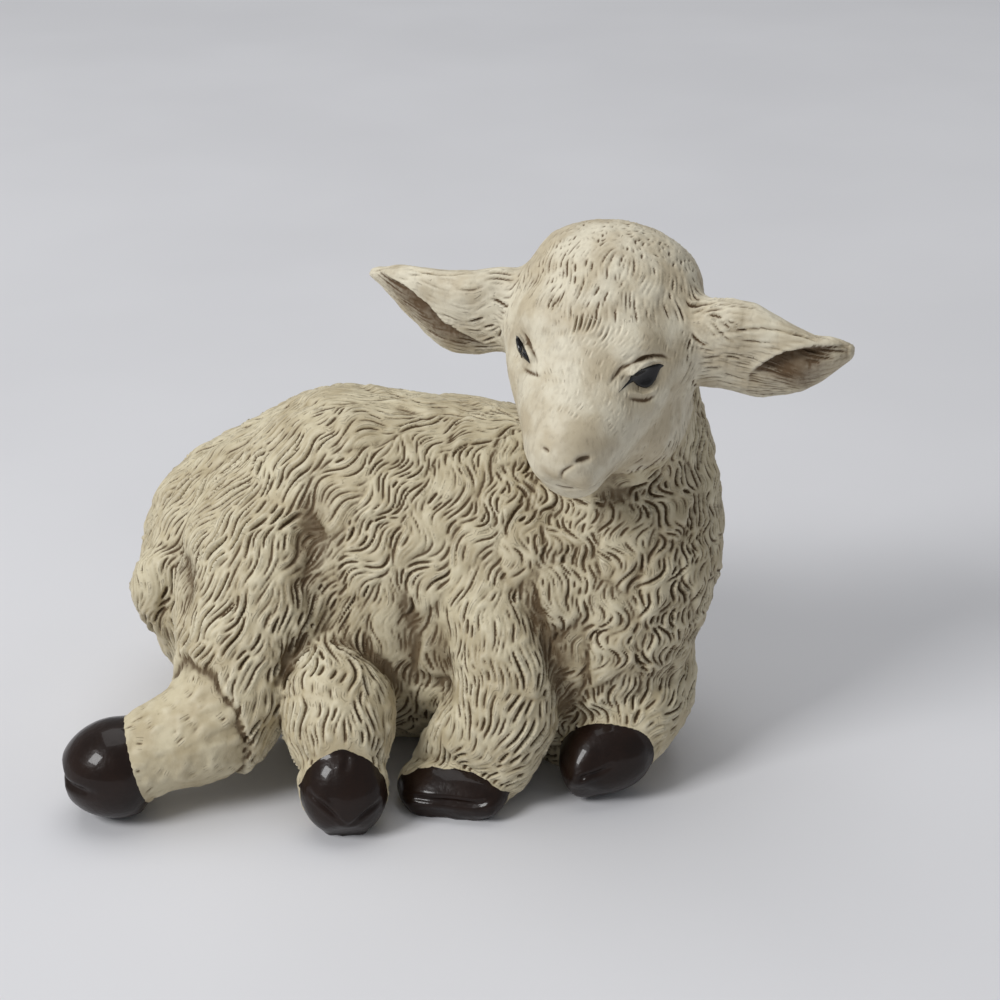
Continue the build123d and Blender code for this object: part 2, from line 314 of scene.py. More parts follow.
def gathered(names):
    """Copies of the solids in one mesh, in millimetres, with their doubles merged."""
    lump = bmesh.new()
    for name in names:
        first = len(lump.verts)
        lump.from_mesh(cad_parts[name].data)
        if name.endswith(PLAIN_FORMS):
            lump.verts.ensure_lookup_table()
            bmesh.ops.convex_hull(lump, input=lump.verts[first:])
    bmesh.ops.scale(lump, vec=Vector((1, 1, 1)) / MM, verts=lump.verts[:])
    bmesh.ops.remove_doubles(lump, verts=lump.verts[:], dist=WELD)
    add_cheek(lump)
    return lump


def remeshed(lump, voxel):
    """The lump's outer skin as even quads."""
    data = bpy.data.meshes.new("clay")
    lump.to_mesh(data)
    lump.free()
    holder = bpy.data.objects.new("clay", data)
    bpy.context.scene.collection.objects.link(holder)
    skin = holder.modifiers.new("skin", "REMESH")
    skin.mode = "VOXEL"
    skin.voxel_size = voxel
    graph = bpy.context.evaluated_depsgraph_get()
    result = bpy.data.meshes.new_from_object(holder.evaluated_get(graph))
    bpy.data.objects.remove(holder)
    bpy.data.meshes.remove(data)
    clay = bmesh.new()
    clay.from_mesh(result)
    bpy.data.meshes.remove(result)
    return clay


clay = remeshed(gathered(NODES), VOXEL)
print("clay faces:", len(clay.faces))

# %% [markdown]
# ## Pointing at the skin
# Small folds are easiest to place as they are seen. A line of sight goes from the camera through a column
# and a row of the thousand-pixel picture, and stops at the skin. What it finds is a place on the lamb, so
# the fold stays there from every side.

# %% Lines of sight
PICTURE = 1000
FOCAL = CAMERA_LENS / CAMERA_SENSOR * PICTURE
LOOK = Matrix.Rotation(math.pi / 2 - CAMERA_DROP, 3, "X")
SIGHT = BVHTree.FromBMesh(clay)


def seen_at(column, row):
    """The place on the skin that shows at a column and a row of the picture."""
    ray = LOOK @ Vector(((column - PICTURE / 2) / FOCAL, (PICTURE / 2 - row) / FOCAL, -1))
    return SIGHT.ray_cast(CAMERA_PLACE / MM, ray.normalized())[0]


def in_picture(places):
    """The columns and rows at which places show, and their depths in front of the camera."""
    local = (places - np.array(CAMERA_PLACE) / MM) @ np.array(LOOK)
    scale = FOCAL / -local[:, 2]
    return PICTURE / 2 + local[:, 0] * scale, PICTURE / 2 - local[:, 1] * scale, -local[:, 2]


def inside(columns, rows, outline):
    """Which pixels lie inside a closed outline."""
    within = np.zeros(len(columns), bool)
    for (x, y), (next_x, next_y) in zip(outline, outline[1:] + outline[:1]):
        crossed = (y > rows) != (next_y > rows)
        within ^= crossed & (columns < x + (rows - y) * (next_x - x) / (next_y - y or 1))
    return within


print("the nose is at", [round(value, 1) for value in seen_at(563, 440)])

# %% [markdown]
# ## Where each bit of clay belongs
# The nearest solid owns a bit of clay. A search tree over all the solids' triangles answers that quickly.
# The hooves are the one border that shows, because the dark paint stops there, so it is cut clean: with
# one plane, or with a row of planes under the low arc of the right fore hoof.

# %% Search tree over the solids


def solids_tree():
    """A tree of every solid's triangles, and the solid that each one is from."""
    corners = []
    faces = []
    owners = []
    for owner, name in enumerate(NODES):
        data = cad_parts[name].data
        start = len(corners)
        corners.extend(vertex.co / MM for vertex in data.vertices)
        for polygon in data.polygons:
            faces.append([start + index for index in polygon.vertices])
            owners.append(owner)
    return BVHTree.FromPolygons(corners, faces), owners


SOLIDS, SOLID_OWNERS = solids_tree()


def owner_of(place):
    """The number of the solid nearest to a place."""
    return SOLID_OWNERS[SOLIDS.find_nearest(place)[2]]


# %% Hoof borders
HOOF_EDGES = {
    "right_hind": ((126.0, 716.0), (130.5, 763.0), (146.5, 802.0)),
    "left_hind": ((308.0, 769.5), (336.0, 750.5), (386.0, 784.0)),
    "right_fore": ((404.0, 780.0), (447.0, 768.5), (502.0, 791.0)),
    "left_fore": ((566.0, 736.0), (610.0, 724.5), (650.0, 740.0)),
}
TOES = {leg: Vector((-0.2, -0.8, -0.6)) for leg in HOOF_EDGES} | {"right_hind": Vector((-1, 0, 0))}
LOW_HOOF = "right_fore"
LOW_HOOF_ARC = ((396.0, 790.0), (406.5, 775.0), (418.0, 768.7), (432.0, 766.7), (455.0, 768.7),
                (473.0, 772.5), (487.0, 780.0), (501.5, 791.0))
LOW_HOOF_SHIFT = 0.8
HOOF_REACH = 8.0


def plane_through(pixels, aim):
    """The middle of three places on the skin, and the direction square to them on the side of an aim."""
    first, second, third = (seen_at(*pixel) for pixel in pixels)
    square = (second - first).cross(third - first).normalized()
    return (first + second + third) / 3, square if square.dot(aim) > 0 else -square


def hoof_border(leg):
    """The planes that bound a hoof's paint, each as a place and the direction into the paint."""
    centre, aim = plane_through(HOOF_EDGES[leg], TOES[leg])
    if leg != LOW_HOOF:
        return [(centre, aim)]
    planes = [(centre - aim * LOW_HOOF_SHIFT, aim)]
    arc = [spot for spot in (seen_at(*pixel) for pixel in LOW_HOOF_ARC) if spot]
    for start, end in zip(arc, arc[1:]):
        slope = (end - start).cross(Vector((0, 1, 0))).normalized()
        planes.append((start, slope if slope.z < 0 else -slope))
    return planes


BORDERS = {leg: hoof_border(leg) for leg in HOOF_EDGES}


def past_border(leg, places):
    """Which places lie on the painted side of a hoof's border."""
    past = np.ones(len(places), bool)
    for centre, aim in BORDERS[leg]:
        past &= (places - np.array(centre)) @ np.array(aim) > -WELD
    return past


def cut_plane(lump, middle, centre, aim, reach):
    """Cuts edges into the clay along a plane, within reach of a place."""
    close = [face for face in lump.faces if (face.calc_center_median() - middle).length < reach]
    edges = {edge for face in close for edge in face.edges}
    verts = {vertex for face in close for vertex in face.verts}
    bmesh.ops.bisect_plane(lump, geom=[*verts, *edges, *close], plane_co=centre, plane_no=aim)


for planes in BORDERS.values():
    for centre, aim in planes:
        cut_plane(clay, planes[0][0], centre, aim, HOOF_REACH)
print("planes of the hoof borders:", {leg: len(planes) for leg, planes in BORDERS.items()})

# %% Flat underside
UNDERCUT = 0.16


def stand_flat(lump, rise):
    """Cuts the clay level just above its underside and closes the cut."""
    every = lump.verts[:] + lump.edges[:] + lump.faces[:]
    bmesh.ops.bisect_plane(lump, geom=every, plane_co=(0, 0, rise), plane_no=(0, 0, 1), clear_inner=True)
    rim = [edge for edge in lump.edges if edge.is_boundary]
    soles = bmesh.ops.holes_fill(lump, edges=rim, sides=0)["faces"]
    ring = {vertex for face in soles for vertex in face.verts}
    bmesh.ops.translate(lump, vec=(0, 0, -rise), verts=list(ring))
    bmesh.ops.triangulate(lump, faces=soles)
    return len(soles)


print("flat soles:", stand_flat(clay, UNDERCUT))

# %% Finer clay on the face
FINE_FROM = 11.0
FINE_FRONT = -2.5


def refine_face(lump):
    """Halves the quads of the face, where the details are small."""
    head = NODES.index("head")
    eyes = (NODES.index("left_eye"), NODES.index("right_eye"))
    fine = set()
    for face in lump.faces:
        centre = face.calc_center_median()
        along, _, out = in_head(np.array(centre))
        if along > FINE_FROM and out > FINE_FRONT and owner_of(centre) in (head, *eyes):
            fine.update(face.edges)
    bmesh.ops.subdivide_edges(lump, edges=list(fine), cuts=1, use_grid_fill=True)
    return len(fine)


print("edges halved on the face:", refine_face(clay))

# %% [markdown]
# ## Sharing out the faces
# From here the skin's faces stay and only its points move, so each face is given to its piece now, while
# the clay is plain and the borders are clean. The body is the largest by far, so its skin is kept as
# three shells: the rump, the barrel, and the neck with the breast.

# %% Faces by piece
SHELL_SHARES = {"rump": 0.0, "barrel": 0.33, "neck": 0.62}


def pieces_of(places):
    """The name of the piece that each place on the skin belongs to."""
    names = np.array(NODES, dtype=object)[[owner_of(place) for place in places]]
    names[np.char.endswith(names.astype(str), "_eye")] = "head"
    for leg in HOOF_EDGES:
        limb = np.isin(names, (leg + "_leg", leg + "_hoof"))
        painted = past_border(leg, places)
        names[limb & painted] = leg + "_hoof"
        names[limb & ~painted] = leg + "_leg"
    return names


def share_out():
    """The numbers of the faces of each piece."""
    centres = np.array([face.calc_center_median() for face in clay.faces])
    names = pieces_of(centres)
    body = names == "body"
    for shell, start in SHELL_SHARES.items():
        names[body & (centres[:, 0] > BOX_LOW[0] + BOX_SIZE[0] * start)] = shell
    return {name: set(np.flatnonzero(names == name)) for name in sorted(set(names))}


clay.faces.index_update()
SHARES = share_out()
print({name: len(faces) for name, faces in SHARES.items()})

# %% [markdown]
# ## Tools for the carving
# The points live in arrays, because there are well over a hundred thousand of them: smoothing pulls each
# towards its neighbours, a swell pushes those near a place, and a stroke presses a groove along a line.

# %% Points, neighbours and smoothing
clay.verts.index_update()
LINKS = np.array([[edge.verts[0].index, edge.verts[1].index] for edge in clay.edges])
POINTS = np.array([vertex.co for vertex in clay.verts])
COUNT = len(POINTS)
NEIGHBOURS = np.bincount(LINKS.ravel(), minlength=COUNT)
OWNERS = pieces_of(POINTS)
GROUNDED = POINTS[:, 2] < WELD


def averaged(values, links=LINKS, neighbours=NEIGHBOURS):
    """The mean of each point's neighbours."""
    total = np.zeros_like(values)
    for column in range(values.shape[1]):
        total[:, column] += np.bincount(links[:, 0], values[links[:, 1], column], len(values))
        total[:, column] += np.bincount(links[:, 1], values[links[:, 0], column], len(values))
    return total / neighbours[:, None]


def smoothed(points, rounds, share):
    """The points pulled towards their neighbours. The sole stays where it is."""
    pull = np.broadcast_to(share, (COUNT,)) * ~GROUNDED
    links = LINKS[(pull[LINKS] > 0).any(axis=1)]
    used, links = np.unique(links, return_inverse=True)
    links = links.reshape(-1, 2)
    neighbours = np.bincount(links.ravel())
    moved = points[used]
    for _ in range(rounds):
        moved = moved + pull[used, None] * (averaged(moved, links, neighbours) - moved)
    points = points.copy()
    points[used] = moved
    return points


def spread(mask, rounds):
    """A mask that reaches further from its points with every round, fading out."""
    values = mask.astype(float)[:, None]
    for _ in range(rounds):
        values = np.maximum(values, averaged(values))
    return values[:, 0]


def set_points(points):
    """Moves the clay to the points and returns its normals."""
    for vertex, place in zip(clay.verts, points):
        vertex.co = place
    clay.normal_update()
    return np.array([vertex.normal for vertex in clay.verts])


def owned(*names):
    """Which points belong to these solids."""
    return np.isin(OWNERS, names)


print("points:", COUNT)

# %% [markdown]
# ## Trimming the outline
# Before any carving, the clay is trimmed to the outline that shows: the head a little narrower above the
# nose, and the muzzle slimmer, each ear's upper and lower edge moved up or down to its own line, and
# three hooves' lower edges slid over the ground. Whole cross sections move, so the forms stay smooth from
# every side.

# %% Narrower head
NARROW = 0.075
NARROW_FROM = 18.0
NARROW_RUN = 5.0
EAR_STARTS = 15.0


def narrow_head(points):
    """Draws the sides of the head in, less towards the nose and the ears' tips."""
    along, left, _ = in_head(points).T
    share = np.clip((NARROW_FROM - along) / NARROW_RUN, 0, 1)
    share *= np.clip((EAR_STARTS - abs(left)) / NARROW_RUN, 0, 1)
    share = np.where(owned("head", "left_ear", "right_ear"), NARROW * share, 0)
    return points - np.outer(share * left, HEAD_AXES[1])


POINTS = narrow_head(POINTS)

# %% Slimmer muzzle
MUZZLE_MIDDLE = 581.0
MUZZLE_ROWS = (446.0, 488.0)
CHIN_ROWS = (466.0, 502.0)
MUZZLE_NARROW = 0.19
CHIN_RISE = 5.0
MUZZLE_SIDE = (612.0, 642.0)
SIDEWAYS = np.array(LOOK)[:, 0]
UPWARD = np.array(LOOK)[:, 1]


def eased(values, low, high):
    """0 below the low value, 1 above the high one, and a smooth step between them."""
    share = np.clip((values - low) / (high - low), 0, 1)
    return share * share * (3 - 2 * share)


def slim_muzzle(points):
    """Draws the muzzle in towards its middle and lifts the chin."""
    column, row, depth = in_picture(points)
    held = owned("head") * (1 - eased(column, *MUZZLE_SIDE))
    inwards = (MUZZLE_MIDDLE - column) * MUZZLE_NARROW * eased(row, *MUZZLE_ROWS) * held
    upwards = CHIN_RISE * eased(row, *CHIN_ROWS) * held
    pixel = depth / FOCAL
    return points + np.outer(inwards * pixel, SIDEWAYS) + np.outer(upwards * pixel, UPWARD)


POINTS = slim_muzzle(POINTS)

# %% Ear outlines
RIGHT_EAR_TOP = ((372, 268), (379, 266), (402, 265), (440, 270), (477, 270), (503, 264), (517, 259))
RIGHT_EAR_LOW = ((372, 278), (379, 284), (387, 293), (403, 312), (420, 328), (440, 347), (456, 354),
                 (477, 355), (506, 352))
LEFT_EAR_TOP = ((705, 297), (727, 299), (756, 302), (775, 314), (794, 325), (813, 334), (843, 338),
                (853, 342))
LEFT_EAR_LOW = ((705, 384), (727, 389), (746, 394), (762, 397), (802, 392), (817, 384), (845, 364),
                (853, 359))
RIGHT_ROOT = (519, 506)
LEFT_ROOT = (710, 725)
EDGE_BINS = 24


def edge_rows(column, row):
    """The highest and the lowest row that a piece reaches at the column of each of its points."""
    walls = np.linspace(column.min(), column.max(), EDGE_BINS + 1)
    bins = np.clip(np.digitize(column, walls) - 1, 0, EDGE_BINS - 1)
    middles = (walls[1:] + walls[:-1]) / 2
    top = np.interp(column, middles, [row[bins == number].min() for number in range(EDGE_BINS)])
    low = np.interp(column, middles, [row[bins == number].max() for number in range(EDGE_BINS)])
    return top, low


def fit_ear(points, name, upper, lower, root):
    """Moves an ear's clay up or down the picture until its edges follow two lines of pixels."""
    mine = np.flatnonzero(owned(name))
    column, row, depth = in_picture(points[mine])
    top, low = edge_rows(column, row)
    share = np.clip((row - top) / np.maximum(low - top, 1), -0.1, 1.1)
    new_top = np.interp(column, *zip(*upper))
    new_row = new_top + share * (np.interp(column, *zip(*lower)) - new_top)
    fade = np.clip((column - root[0]) / (root[1] - root[0]), 0, 1)
    points[mine] += np.outer((row - new_row) * depth / FOCAL * fade, UPWARD)


fit_ear(POINTS, "right_ear", RIGHT_EAR_TOP, RIGHT_EAR_LOW, RIGHT_ROOT)
fit_ear(POINTS, "left_ear", LEFT_EAR_TOP, LEFT_EAR_LOW, LEFT_ROOT)

# %% Hoof outlines
HOOF_LOWS = {
    "right_fore_hoof": ((395, 800), (408, 813), (430, 818), (455, 821), (473, 822), (493, 818), (506, 805)),
    "left_fore_hoof": ((560, 764), (564, 786), (572, 799), (590, 799), (607, 795), (623, 789), (640, 774),
                       (653, 754)),
    "left_hind_hoof": ((304, 786), (312, 810), (325, 835), (342, 838), (360, 836), (378, 815), (390, 799)),
}
FORWARD = np.array((0, 1 / math.sin(CAMERA_DROP), 0))
HOOF_FIT = 7.0


def fit_hoof(points, name, lower):
    """Slides a hoof's clay over the ground until its lower edge follows a line of pixels."""
    mine = np.flatnonzero(owned(name))
    column, row, depth = in_picture(points[mine])
    top, low = edge_rows(column, row)
    share = np.clip((row - top) / np.maximum(low - top, 1), 0, 1)
    miss = np.clip(low - np.interp(column, *zip(*lower)), -HOOF_FIT, HOOF_FIT)
    ends = np.clip((column - column.min()) / np.ptp(column), 0, 1)
    share *= np.clip(4 * ends * (1 - ends), 0, 1)
    points[mine] += np.outer(share * miss * depth / FOCAL, FORWARD)


for name, lower in HOOF_LOWS.items():
    fit_hoof(POINTS, name, lower)
print("head, ears and hooves trimmed")

# %% Blend the joins
FLEECE = ("body", "tail", "right_hind_leg", "left_hind_leg", "right_fore_leg", "left_fore_leg")
SKIN_ROUNDS = 6
JOIN_REACH = 9
JOIN_ROUNDS = 60
CHEEK_REACH = 8.5
CHEEK_ROUNDS = 420
CHEEK_EDGE = 1.0
CHEEK_FADE = 2.0
HOOF_ROUNDS = 16
PULL = 0.5

join = OWNERS[LINKS[:, 0]] != OWNERS[LINKS[:, 1]]
at_join = np.zeros(COUNT, bool)
at_join[LINKS[join].ravel()] = True
HOOFED = owned(*(leg + "_hoof" for leg in HOOF_EDGES))
near_join = np.clip(spread(at_join & ~HOOFED, JOIN_REACH) * 2, 0, 1) * ~HOOFED
POINTS = smoothed(POINTS, SKIN_ROUNDS, PULL)
POINTS = smoothed(POINTS, JOIN_ROUNDS, PULL * near_join)


def cheek_mask(points):
    """How much each point belongs to the dip round the cheek's pad. The front of the face stays as it is."""
    _, left, out = in_head(points).T
    away = np.linalg.norm(points - np.array(from_head(*CHEEK_PLACE)), axis=1)
    behind = np.clip((CHEEK_EDGE - out) / CHEEK_FADE, 0, 1) * np.clip((left + CHEEK_EDGE) / CHEEK_FADE, 0, 1)
    return np.clip((CHEEK_REACH - away) / CHEEK_FADE, 0, 1) * behind * owned("head", "body")


POINTS = smoothed(POINTS, CHEEK_ROUNDS, PULL * cheek_mask(POINTS))
POINTS = smoothed(POINTS, HOOF_ROUNDS, PULL * HOOFED)
NORMALS = set_points(POINTS)
print("points near a join:", int((near_join > 0.5).sum()))

# %% Swells and strokes
STROKE_STEP = 0.16


def find_tree(points):
    """A search tree over the skin's points."""
    tree = KDTree(len(points))
    for index, point in enumerate(points):
        tree.insert(point, index)
    tree.balance()
    return tree


TREE = find_tree(POINTS)
CUT = np.zeros(COUNT)
LIFT = np.zeros(COUNT)
# Darkening for the shader: stain along the face's folds, and painted shade in the valleys, in the ear
# hollows and under the cuff.
STAIN_AND_SHADE = np.zeros(COUNT)


def swell(place, radius, rise):
    """Raises the skin round a place, or sinks it if the rise is below zero."""
    global POINTS
    away = np.linalg.norm(POINTS - np.array(place), axis=1) / radius
    share = np.clip(1 - away ** 2, 0, None) ** 2
    share[GROUNDED] = 0
    POINTS = POINTS + NORMALS * (share * rise)[:, None]


def along_line(corners, step=STROKE_STEP):
    """Points at an even step on the smooth line through a few corners."""
    corners = [Vector(corner) for corner in corners]
    padded = [corners[0] * 2 - corners[1], *corners, corners[-1] * 2 - corners[-2]]
    line = []
    for first, start, end, last in zip(padded, padded[1:], padded[2:], padded[3:]):
        pieces = max(1, round((end - start).length / step))
        for piece in range(pieces):
            t = piece / pieces
            line.append(0.5 * (2 * start + (end - first) * t
                               + (2 * first - 5 * start + 4 * end - last) * t ** 2
                               + (3 * start - first - 3 * end + last) * t ** 3))
    return np.array([*line, corners[-1]])


def line_distance(places, line):
    """How far each place is from a line, its share of the way along it, and its offset from the line."""
    starts = line[:-1]
    runs = line[1:] - starts
    reach = places[:, None, :] - starts[None]
    share = np.clip((reach * runs).sum(2) / np.maximum((runs ** 2).sum(1), WELD ** 2), 0, 1)
    offset = reach - share[..., None] * runs
    away = np.linalg.norm(offset, axis=2)
    nearest = away.argmin(1)
    rows = np.arange(len(places))
    return away[rows, nearest], (nearest + share[rows, nearest]) / len(runs), offset[rows, nearest]


def near_line(line, reach):
    """The numbers of the points within reach of a line."""
    skip = max(1, int(reach / STROKE_STEP / 2))
    found = set()
    for place in line[::skip]:
        found.update(index for _, index, _ in TREE.find_range(place, reach * 1.2))
    found.update(index for _, index, _ in TREE.find_range(line[-1], reach))
    return np.fromiter(sorted(found), int, len(found))


def tapered(share, ends):
    """How much of a stroke is left at a share of its length. It runs out at both ends."""
    return np.sin(np.pi * np.clip(share, 0.02, 0.98)) ** ends


def press(line, width, depth, lip=0.0, ends=0.6, stain_and_shade=0.0):
    """Presses a groove along a line, or raises a ridge if the depth is below zero, and may darken it: stain
    on the face's folds, painted shade in the valleys.
    """
    near = near_line(line, width * 3.2)
    if len(near):
        away, share, _ = line_distance(POINTS[near], line)
        taper = tapered(share, ends)
        gouge(near, away, taper, width, depth, lip)
        STAIN_AND_SHADE[near] = np.maximum(STAIN_AND_SHADE[near], stain_and_shade * np.exp(-(away / (1.5 * width)) ** 2) * taper)


def gouge(near, away, taper, width, depth, lip):
    """Marks a groove on the points near a stroke, with a lip beside it. The deepest groove wins."""
    groove = np.exp(-(away / width) ** 2) * taper
    if depth > 0:
        CUT[near] = np.maximum(CUT[near], depth * groove)
    else:
        LIFT[near] = np.maximum(LIFT[near], -depth * groove)
    if np.any(lip):
        edge = np.exp(-((away - 2.0 * width) / width) ** 2) * taper
        LIFT[near] = np.maximum(LIFT[near], lip * edge)


def settle():
    """Moves the skin by what was pressed since the last time, and returns the depth of the grooves."""
    global POINTS, NORMALS, TREE
    move = np.where(GROUNDED, 0, LIFT - CUT)
    POINTS = POINTS + NORMALS * move[:, None]
    POINTS[:, 2] = np.maximum(POINTS[:, 2], 0)
    depth = CUT.copy()
    CUT[:] = 0
    LIFT[:] = 0
    NORMALS = set_points(POINTS)
    TREE = find_tree(POINTS)
    return depth


# %% [markdown]
# ## The face
# A lamb's face is smooth beside its wool: a broad brow, a straight nose, slanted eyes under a lid fold,
# two comma nostrils and a closed mouth. The broad forms are swells on both sides of the head, and the
# folds are strokes laid where they show. Only the far half of the mouth is taken as the mirror image of
# the near one.

# %% Both sides of the face


def seen_line(pixels):
    """A smooth line over the skin through pixels of the picture. A pixel beside the lamb is left out."""
    spots = [seen_at(*pixel) for pixel in pixels]
    return along_line([spot for spot in spots if spot])


def mirrored(line):
    """A line on the head's left side, laid on its right side."""
    places = in_head(np.array(line)) * (1, -1, 1)
    return along_line([TREE.find(from_head(*place))[0] for place in places[::4]])


def on_face(along, left, out):
    """The skin's nearest point to a place given in the head's own directions."""
    return Vector(TREE.find(from_head(along, left, out))[0])


# %% Broad forms of the face
RIGHT_EYE_SHIFT = -1.2
MIDDLE_FORMS = (((8.5, 0, 6.6), 7.5, 0.20), ((20.4, 0, 4.1), 3.0, 0.15), ((21.6, 0, -1.2), 2.2, 0.18))
EYE_FORMS = (((14.2, 5.0, 4.0), 2.8, -0.55), ((12.0, 4.4, 5.5), 2.8, 0.45))
CHEEK_FORMS = (((17.6, 3.2, 3.4), 3.4, 0.15), ((21.6, 1.8, 1.2), 1.5, 0.16))

for place, radius, rise in MIDDLE_FORMS:
    swell(on_face(*place), radius, rise)
for side, shift in ((1, 0.0), (-1, RIGHT_EYE_SHIFT)):
    for (along, left, out), radius, rise in EYE_FORMS:
        swell(on_face(along + shift, left * side, out), radius, rise)
    for (along, left, out), radius, rise in CHEEK_FORMS:
        swell(on_face(along, left * side, out), radius, rise)
EAR_ROOTS = (((701.0, 306.0), 4.2, 0.55), ((700.0, 345.0), 4.2, 0.50), ((699.0, 382.0), 3.6, 0.40),
             ((517.0, 276.0), 3.2, 0.45), ((515.0, 312.0), 3.0, 0.30))
EAR_BAND = 3.6
EAR_ROUNDS = 220


def ear_band():
    """How near each point of the head and the ears is to the border between them."""
    head = owned("head")
    ears = owned("left_ear", "right_ear")
    crossing = LINKS[(head[LINKS].any(axis=1)) & (ears[LINKS].any(axis=1))]
    border = find_tree(POINTS[np.unique(crossing)])
    band = np.zeros(COUNT)
    for index in np.flatnonzero(head | ears):
        band[index] = max(0, 1 - border.find(POINTS[index])[2] / EAR_BAND)
    return np.clip(2 * band, 0, 1)


SIGHT = BVHTree.FromBMesh(clay)
for pixel, radius, rise in EAR_ROOTS:
    swell(seen_at(*pixel), radius, rise)
POINTS = smoothed(POINTS, EAR_ROUNDS, PULL * ear_band())
NORMALS = set_points(POINTS)
TREE = find_tree(POINTS)
SIGHT = BVHTree.FromBMesh(clay)
print("face swells and ear roots set")

# %% Folds of the face
FOLD_STAIN = 0.6
EYE_FOLDS = (
    (((609.5, 384.5), (617.0, 374.5), (626.0, 366.5), (645.3, 358.0), (660.6, 356.0), (670.0, 359.0)),
     0.17, 0.34),
    (((617.5, 391.0), (633.0, 372.0), (645.3, 363.0), (657.6, 359.8), (667.0, 363.5)), 0.22, -0.30),
    (((625.4, 393.5), (634.6, 393.0), (643.8, 394.0), (654.5, 389.5), (662.0, 380.0)), 0.24, -0.22),
    (((629.0, 398.5), (637.0, 400.0), (646.8, 400.4), (657.0, 395.0)), 0.15, 0.14),
    (((536.5, 366.0), (533.0, 353.0), (528.0, 341.0), (522.0, 332.0)), 0.16, 0.22),
    (((532.5, 363.0), (529.5, 353.0), (525.0, 343.0), (519.0, 334.0)), 0.20, -0.22),
    (((528.0, 367.5), (522.0, 359.5), (516.5, 350.0), (513.5, 342.0)), 0.20, -0.16),
    (((524.0, 368.5), (531.0, 373.0), (541.0, 376.5)), 0.16, 0.12),
)
FACE_LINES = (
    (((574.5, 463.5), (579.0, 461.0), (584.0, 459.5), (592.0, 457.5)), 0.25, 0.45, 0.7),
    (((541.0, 447.0), (545.5, 449.5), (549.0, 453.0)), 0.18, 0.24, 0.35),
    (((577.0, 463.5), (569.0, 468.0), (562.5, 473.0), (561.0, 480.0)), 0.16, 0.20, 0.35),
    (((554.0, 485.0), (563.0, 488.0), (575.0, 489.0)), 0.19, 0.26, 0.5),
    (((572.0, 489.0), (588.0, 488.5), (599.0, 484.0), (607.0, 476.5)), 0.17, 0.15, 0.1),
    (((605.0, 478.5), (611.5, 472.0), (617.0, 465.0)), 0.20, 0.30, 0.5),
)
FAR_MOUTH = ((575.0, 489.0), (593.0, 486.0), (603.5, 479.0), (610.5, 472.0), (616.0, 466.0))
FAR_MOUTH_WIDTH = 0.15
FAR_MOUTH_DEPTH = 0.14
FAR_MOUTH_STAIN = 0.2

for pixels, width, depth in EYE_FOLDS:
    press(seen_line(pixels), width, depth, stain_and_shade=FOLD_STAIN if depth > 0 else 0)
for pixels, width, depth, stain_and_shade in FACE_LINES:
    press(seen_line(pixels), width, depth, stain_and_shade=stain_and_shade)
press(mirrored(seen_line(FAR_MOUTH)), FAR_MOUTH_WIDTH, FAR_MOUTH_DEPTH, stain_and_shade=FAR_MOUTH_STAIN)
print("deepest fold of the face in mm:", round(settle().max(), 2))

# %% [markdown]
# ## The eyes
# Each eye is a black almond between two lids. It could be a flat patch of paint, but then it would not
# shine as a bead does. So a socket is sunk into the skin, and a sphere is drawn out to the almond that
# the lids leave.

# %% Eye sockets
EYE_EDGES = {
    "left_eye": (
        ((618.6, 392.6), (618.6, 392.8)), ((626.3, 383.4), (626.3, 386.1)), ((633.5, 374.6), (633.0, 381.0)),
        ((639.0, 370.6), (636.5, 385.0)), ((644.0, 368.2), (641.0, 387.4)), ((648.5, 366.4), (646.0, 387.8)),
        ((652.5, 365.0), (650.5, 385.6)), ((656.3, 363.9), (654.4, 380.6)), ((659.5, 363.7), (657.2, 374.2)),
        ((662.0, 364.4), (660.2, 368.6)), ((664.0, 365.6), (664.0, 365.9))),
    "right_eye": (
        ((530.2, 363.6), (530.0, 363.8)), ((527.6, 355.0), (525.6, 359.6)), ((525.0, 348.0), (521.8, 353.4)),
        ((522.2, 342.2), (518.9, 346.8)), ((519.2, 337.6), (516.9, 340.6)),
        ((516.4, 335.4), (516.2, 335.6))),
}
SOCKET_SIZES = {"left_eye": 1.7, "right_eye": 1.4}
SOCKET_DEPTH = -0.42
EYE_DOME = 0.40
EYE_BACK = 0.8
EYE_SEGMENTS = 48

SIGHT = BVHTree.FromBMesh(clay)


def eye_spot(name, along, across):
    """The pixel at shares of the way along an eye and up from its lower lid, and the gap there."""
    edges = np.array(EYE_EDGES[name])
    steps = np.linspace(0, 1, len(edges))
    upper, lower = (np.array([np.interp(along, steps, edges[:, lid, axis]) for axis in (0, 1)])
                    for lid in (0, 1))
    widest = np.linalg.norm(edges[:, 0] - edges[:, 1], axis=1).max()
    return lower + (upper - lower) * across, np.linalg.norm(upper - lower) / widest


def eye_bead(name, outward):
    """A black bead between the lids of one eye: a sphere drawn out to an almond with a low dome."""
    shape = bmesh.new()
    bmesh.ops.create_uvsphere(shape, u_segments=EYE_SEGMENTS, v_segments=EYE_SEGMENTS // 2, radius=1.0)
    for vertex in shape.verts:
        side, up, front = vertex.co
        half = math.sqrt(max(1 - side ** 2, WELD))
        pixel, gap = eye_spot(name, (side + 1) / 2, (max(-1, min(1, up / half)) + 1) / 2)
        vertex.co = seen_at(*pixel) + outward * front * (EYE_DOME * gap if front > 0 else EYE_BACK)
    bmesh.ops.recalc_face_normals(shape, faces=shape.faces[:])
    for face in shape.faces:
        face.smooth = True
    bmesh.ops.scale(shape, vec=(MM, MM, MM), verts=shape.verts[:])
    return shape


